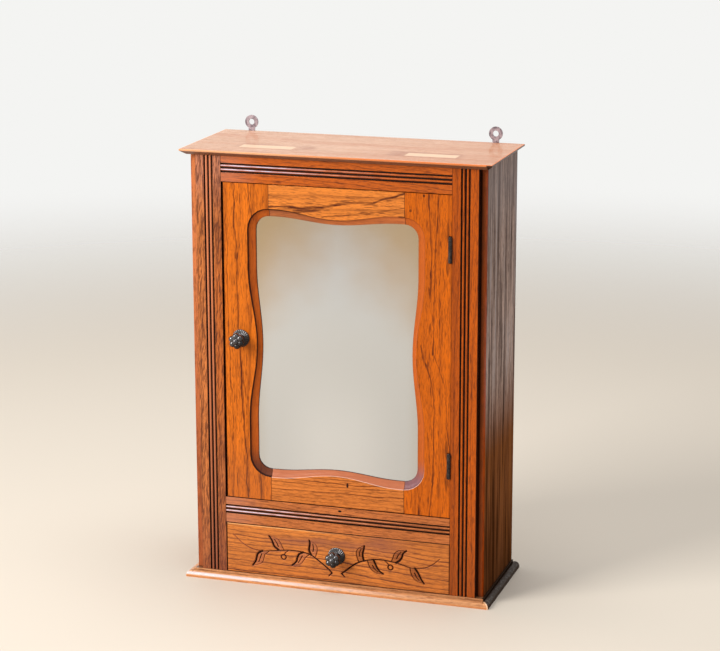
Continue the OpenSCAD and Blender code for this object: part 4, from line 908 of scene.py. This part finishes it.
def carved_front():
    """The drawer's front board with its sprigs cut into it, as one closed piece: a fine net
    of points makes the front layer, and the rest of the board is the CAD node's own."""
    low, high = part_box("drawer_front")
    layer_y = low.y + CARVED_LAYER
    face = CarvedFace((low.x / MM, low.z / MM), (high.x / MM, high.z / MM), NET_PITCH)
    for sprig in SPRIGS:
        face.knife(sprig["foot"], (1.2, 1.8), (1.6, 2.6))
        face.knife(sprig["stem"], (1.7, 1.0), (2.6, 1.2))
        face.knife(sprig["stalk"], (1.1, 1.3), (1.4, 1.8))
        face.berry(*sprig["berry"], 3.6, 1.4, 2.0)
        for steep, shallow in sprig["leaves"]:
            face.leaf(steep, shallow, 0.75)
            face.knife(steep, (2.3, 1.9), (3.0, 2.4))
            face.knife(shallow, (1.1, 0.9), (1.7, 1.2))
            vein = [tuple(0.5 * s + 0.5 * h for s, h in zip(p, q)) for p, q in zip(steep, shallow)]
            face.knife(vein[1:4], (1.3, 1.1), (2.2, 1.7))

    bm = bmesh.new()
    nx, nz = face.counts
    grid = bmesh.ops.create_grid(bm, x_segments=nx, y_segments=nz, size=1)["verts"]
    for v in grid:
        i, k = round((v.co.x + 1) / 2 * nx), round((v.co.y + 1) / 2 * nz)
        rim = min(i, k, nx - i, nz - k)
        depth = {0: 0.4, 1: 0.05}.get(rim, face.depths.get((i, k), 0))
        v.co = (low.x + (high.x - low.x) * i / nx, low.y + depth * MM, low.z + (high.z - low.z) * k / nz)
    rim_edges = [e for e in bm.edges if e.is_boundary]
    skirt = bmesh.ops.extrude_edge_only(bm, edges=rim_edges)["geom"]
    foot = [v for v in skirt if isinstance(v, bmesh.types.BMVert)]
    for v in foot:
        v.co.y = layer_y
    inner = [v for v in foot if low.x + 1e-5 < v.co.x < high.x - 1e-5
             or low.z + 1e-5 < v.co.z < high.z - 1e-5]
    bmesh.ops.dissolve_verts(bm, verts=inner)

    rest = copied("drawer_front")
    bmesh.ops.bisect_plane(rest, geom=rest.verts[:] + rest.edges[:] + rest.faces[:], dist=1e-6,
                           plane_co=(0, layer_y, 0), plane_no=(0, 1, 0), clear_inner=True)
    round_hole = [e for e in rest.edges if e.is_boundary and abs(e.verts[0].co.x) < 10 * MM
                  and abs(e.verts[1].co.x) < 10 * MM]
    bmesh.ops.holes_fill(rest, edges=round_hole, sides=0)
    spare = bpy.data.meshes.new("drawer_front_rest")
    rest.to_mesh(spare)
    rest.free()
    bm.from_mesh(spare)
    bpy.data.meshes.remove(spare)
    seam = [v for v in bm.verts if abs(v.co.y - layer_y) < 1e-6]
    bmesh.ops.remove_doubles(bm, verts=seam, dist=1e-5)
    bmesh.ops.recalc_face_normals(bm, faces=bm.faces)
    return bm


def dress_drawer():
    low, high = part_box("drawer_front")

    def shade_and_wear(f, colour):
        """Painted shade in the carving, its floor lit on the left sprig and shaded on the right and its deep
        cuts near black; painted shadow in the gap at the rim; a painted highlight along the lit upper edge;
        and duller wood in the upper middle.
        """
        rim = f.step(abs(f.x), high.x - 0.7 * MM, high.x - 0.3 * MM)
        rim = rim.maths("MAXIMUM", rim, f.step(f.z, high.z - 0.7 * MM, high.z - 0.3 * MM))
        duller = f.step(f.noise(f.combine(f.x * 7, f.y, f.z * 34), detail=4), 0.42, 0.6)
        duller = duller * f.step(f.z, 0.05, 0.074) * f.step(abs(f.x), 0.13, 0.06)
        colour = f.mix(duller * 0.65, colour, srgb(136, 80, 66))
        colour = f.mix(f.step(f.x, 0.02, 0.16) * 0.2, colour, srgb(120, 56, 24))
        # painted highlight along the lit upper edge
        lit_edge = f.band(f.z, high.z - 1.8 * MM, high.z - 1.1 * MM, 0.4 * MM) * f.step(f.x, 0.04, -0.1)
        colour = f.mix(lit_edge * near_front(f, door_y) * 0.6, colour, srgb(250, 196, 132))
        # painted light and shade in the carving: floor lit on the left sprig, shaded on the right, deep cuts
        # near black
        cut = f.step(f.y, door_y + 0.06 * MM, door_y + 0.3 * MM)
        cut = cut * f.step(f.y, door_y + 3 * MM, door_y + 2.7 * MM)
        deep = f.step(f.y, door_y + 0.78 * MM, door_y + 1.15 * MM)
        floor = f.mix(f.step(f.x, 0.0, 0.03), srgb(168, 98, 70), srgb(120, 60, 34))
        inside = (1 - rim) * f.step(f.z, low.z + 0.9 * MM, low.z + 1.9 * MM)
        colour = f.mix(cut * inside * (0.55 + 0.4 * deep), colour, f.mix(deep, floor, srgb(34, 12, 8)))
        back = f.step(f.y, high.y - 1.2 * MM, high.y - 0.4 * MM)
        colour = f.mix(back * 0.7, colour, srgb(180, 134, 88))
        # painted shadow in the gap round the rim
        return f.mix(rim * near_front(f, door_y) * 0.85, colour, SHADE_AND_DIRT_BLACK)

    front = oak("drawer_front_oak", "x", srgb(226, 134, 60), srgb(94, 48, 38), 17, ring=6.5, heart=(120, -64),
                tilt=0.09, vein=0.35, veins=1.45, cloud=0.5, touch=shade_and_wear)
    set_down("drawer_front_carved", carved_front(), "drawer", front, ["drawer_front"])
    paint(["drawer_side_left", "drawer_side_right"], bare_oak("drawer_side_oak", "y", 18))
    paint(["drawer_back", "drawer_bottom"], bare_oak("drawer_back_oak", "x", 19))


def knob_flange(name, x, z, material, node):
    """A round flange with rounded rays from its neck to its rim."""
    rays = 24
    bm = bmesh.new()
    profile = [(0, 0), (12.3, 0), (12.8, 0.35), (12.85, 0.9), (12.5, 1.45), (11.7, 1.8), (10.8, 2.05),
               (9.8, 2.3), (8.8, 2.55), (7.8, 2.8), (6.9, 3.0), (6.2, 3.05), (5.6, 3.3), (4.8, 3.38),
               (0, 3.38)]
    for v in turned(bm, profile, rays * 8):
        r = math.hypot(v.co.x, v.co.y) / MM
        if v.co.z > 0.8 * MM and 6.4 < r < 12.9:
            ray = abs(math.cos(rays / 2 * math.atan2(v.co.y, v.co.x)))
            depth = 0.75 * min(1, (r - 6.0) / 2.5)
            v.co.z -= depth * (1 - ray) ** 1.2 * MM * (1.0 if r < 12.4 else 0.5)
    stood_on_face(bm, x, z, door_y)
    set_down(name, bm, node_body(node), material, [node], 60)


def knob_head(name, x, z, material, node):
    """A ball of berries in a scalloped cup on a slim stem."""
    petals = 12
    berry, ring, ring_height, top_height = 4.9, 6.7, 18.5, 21.05
    core, core_height = 8.6, 15.6
    bm = bmesh.new()
    stem = [(0, 3.4), (4.9, 3.4), (4.5, 4.1), (4.1, 5.2), (3.7, 6.6), (3.7, 7.8), (4.2, 8.9), (5.2, 9.9),
            (6.8, 10.8), (8.7, 11.7), (10.1, 13.0), (10.9, 14.5), (11.0, 15.6), (10.4, 16.4), (9.4, 16.7),
            (7.0, 16.8), (0, 16.8)]
    for v in turned(bm, stem, petals * 12):
        r = math.hypot(v.co.x, v.co.y) / MM
        if r > 5.5:
            dent = 1 - abs(math.cos(petals / 2 * math.atan2(v.co.y, v.co.x)))
            pull = 1 - 0.13 * dent * min(1, (r - 5.5) / 3)
            v.co.x *= pull
            v.co.y *= pull
    places = [(0, 0, top_height)]
    for i in range(6):
        a = math.radians(38 + 60 * i)
        places.append((ring * math.cos(a), ring * math.sin(a), ring_height))
    for place in places:
        bmesh.ops.create_icosphere(bm, subdivisions=4, radius=berry * MM,
                                   matrix=Matrix.Translation([c * MM for c in place]))
    bmesh.ops.create_icosphere(bm, subdivisions=3, radius=core * MM,
                               matrix=Matrix.Translation((0, 0, core_height * MM)))
    stood_on_face(bm, x, z, door_y)
    set_down(name, bm, node_body(node), material, [node], 60)


def dress_metal():
    bronze = dark_bronze("dark_bronze")
    for owner in ("door", "drawer"):
        low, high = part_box(owner + "_knob_flange")
        middle = (low + high) / 2
        knob_flange(owner + "_knob_rays", middle.x, middle.z, bronze, owner + "_knob_flange")
        knob_head(owner + "_knob_berries", middle.x, middle.z, bronze, owner + "_knob_head")
    dark = aged_steel("dark_steel", srgb(70, 60, 56), srgb(36, 28, 26))
    paint(["lower_hinge_frame_leaf", "upper_hinge_frame_leaf", "lower_hinge_pin", "upper_hinge_pin",
           "hinge_frame_screws", "lower_hinge_door_leaf", "upper_hinge_door_leaf",
           "hinge_door_screws", "back_nails"], dark)
    steel = aged_steel("aged_steel", srgb(172, 158, 164), srgb(108, 96, 104))
    for node in ("hanger_plate_left", "hanger_plate_right"):
        softened(node, steel, 0.3)
    paint(["hanger_screws", "door_catch_clip", "catch_clip_screw", "door_catch_tongue",
           "catch_tongue_screws", "door_knob_screw", "drawer_knob_screw"], steel)


bpy.context.scene.view_settings.view_transform = "Standard"
photo_camera()
studio()
dress_front()
dress_carcass()
dress_door()
dress_drawer()
dress_metal()
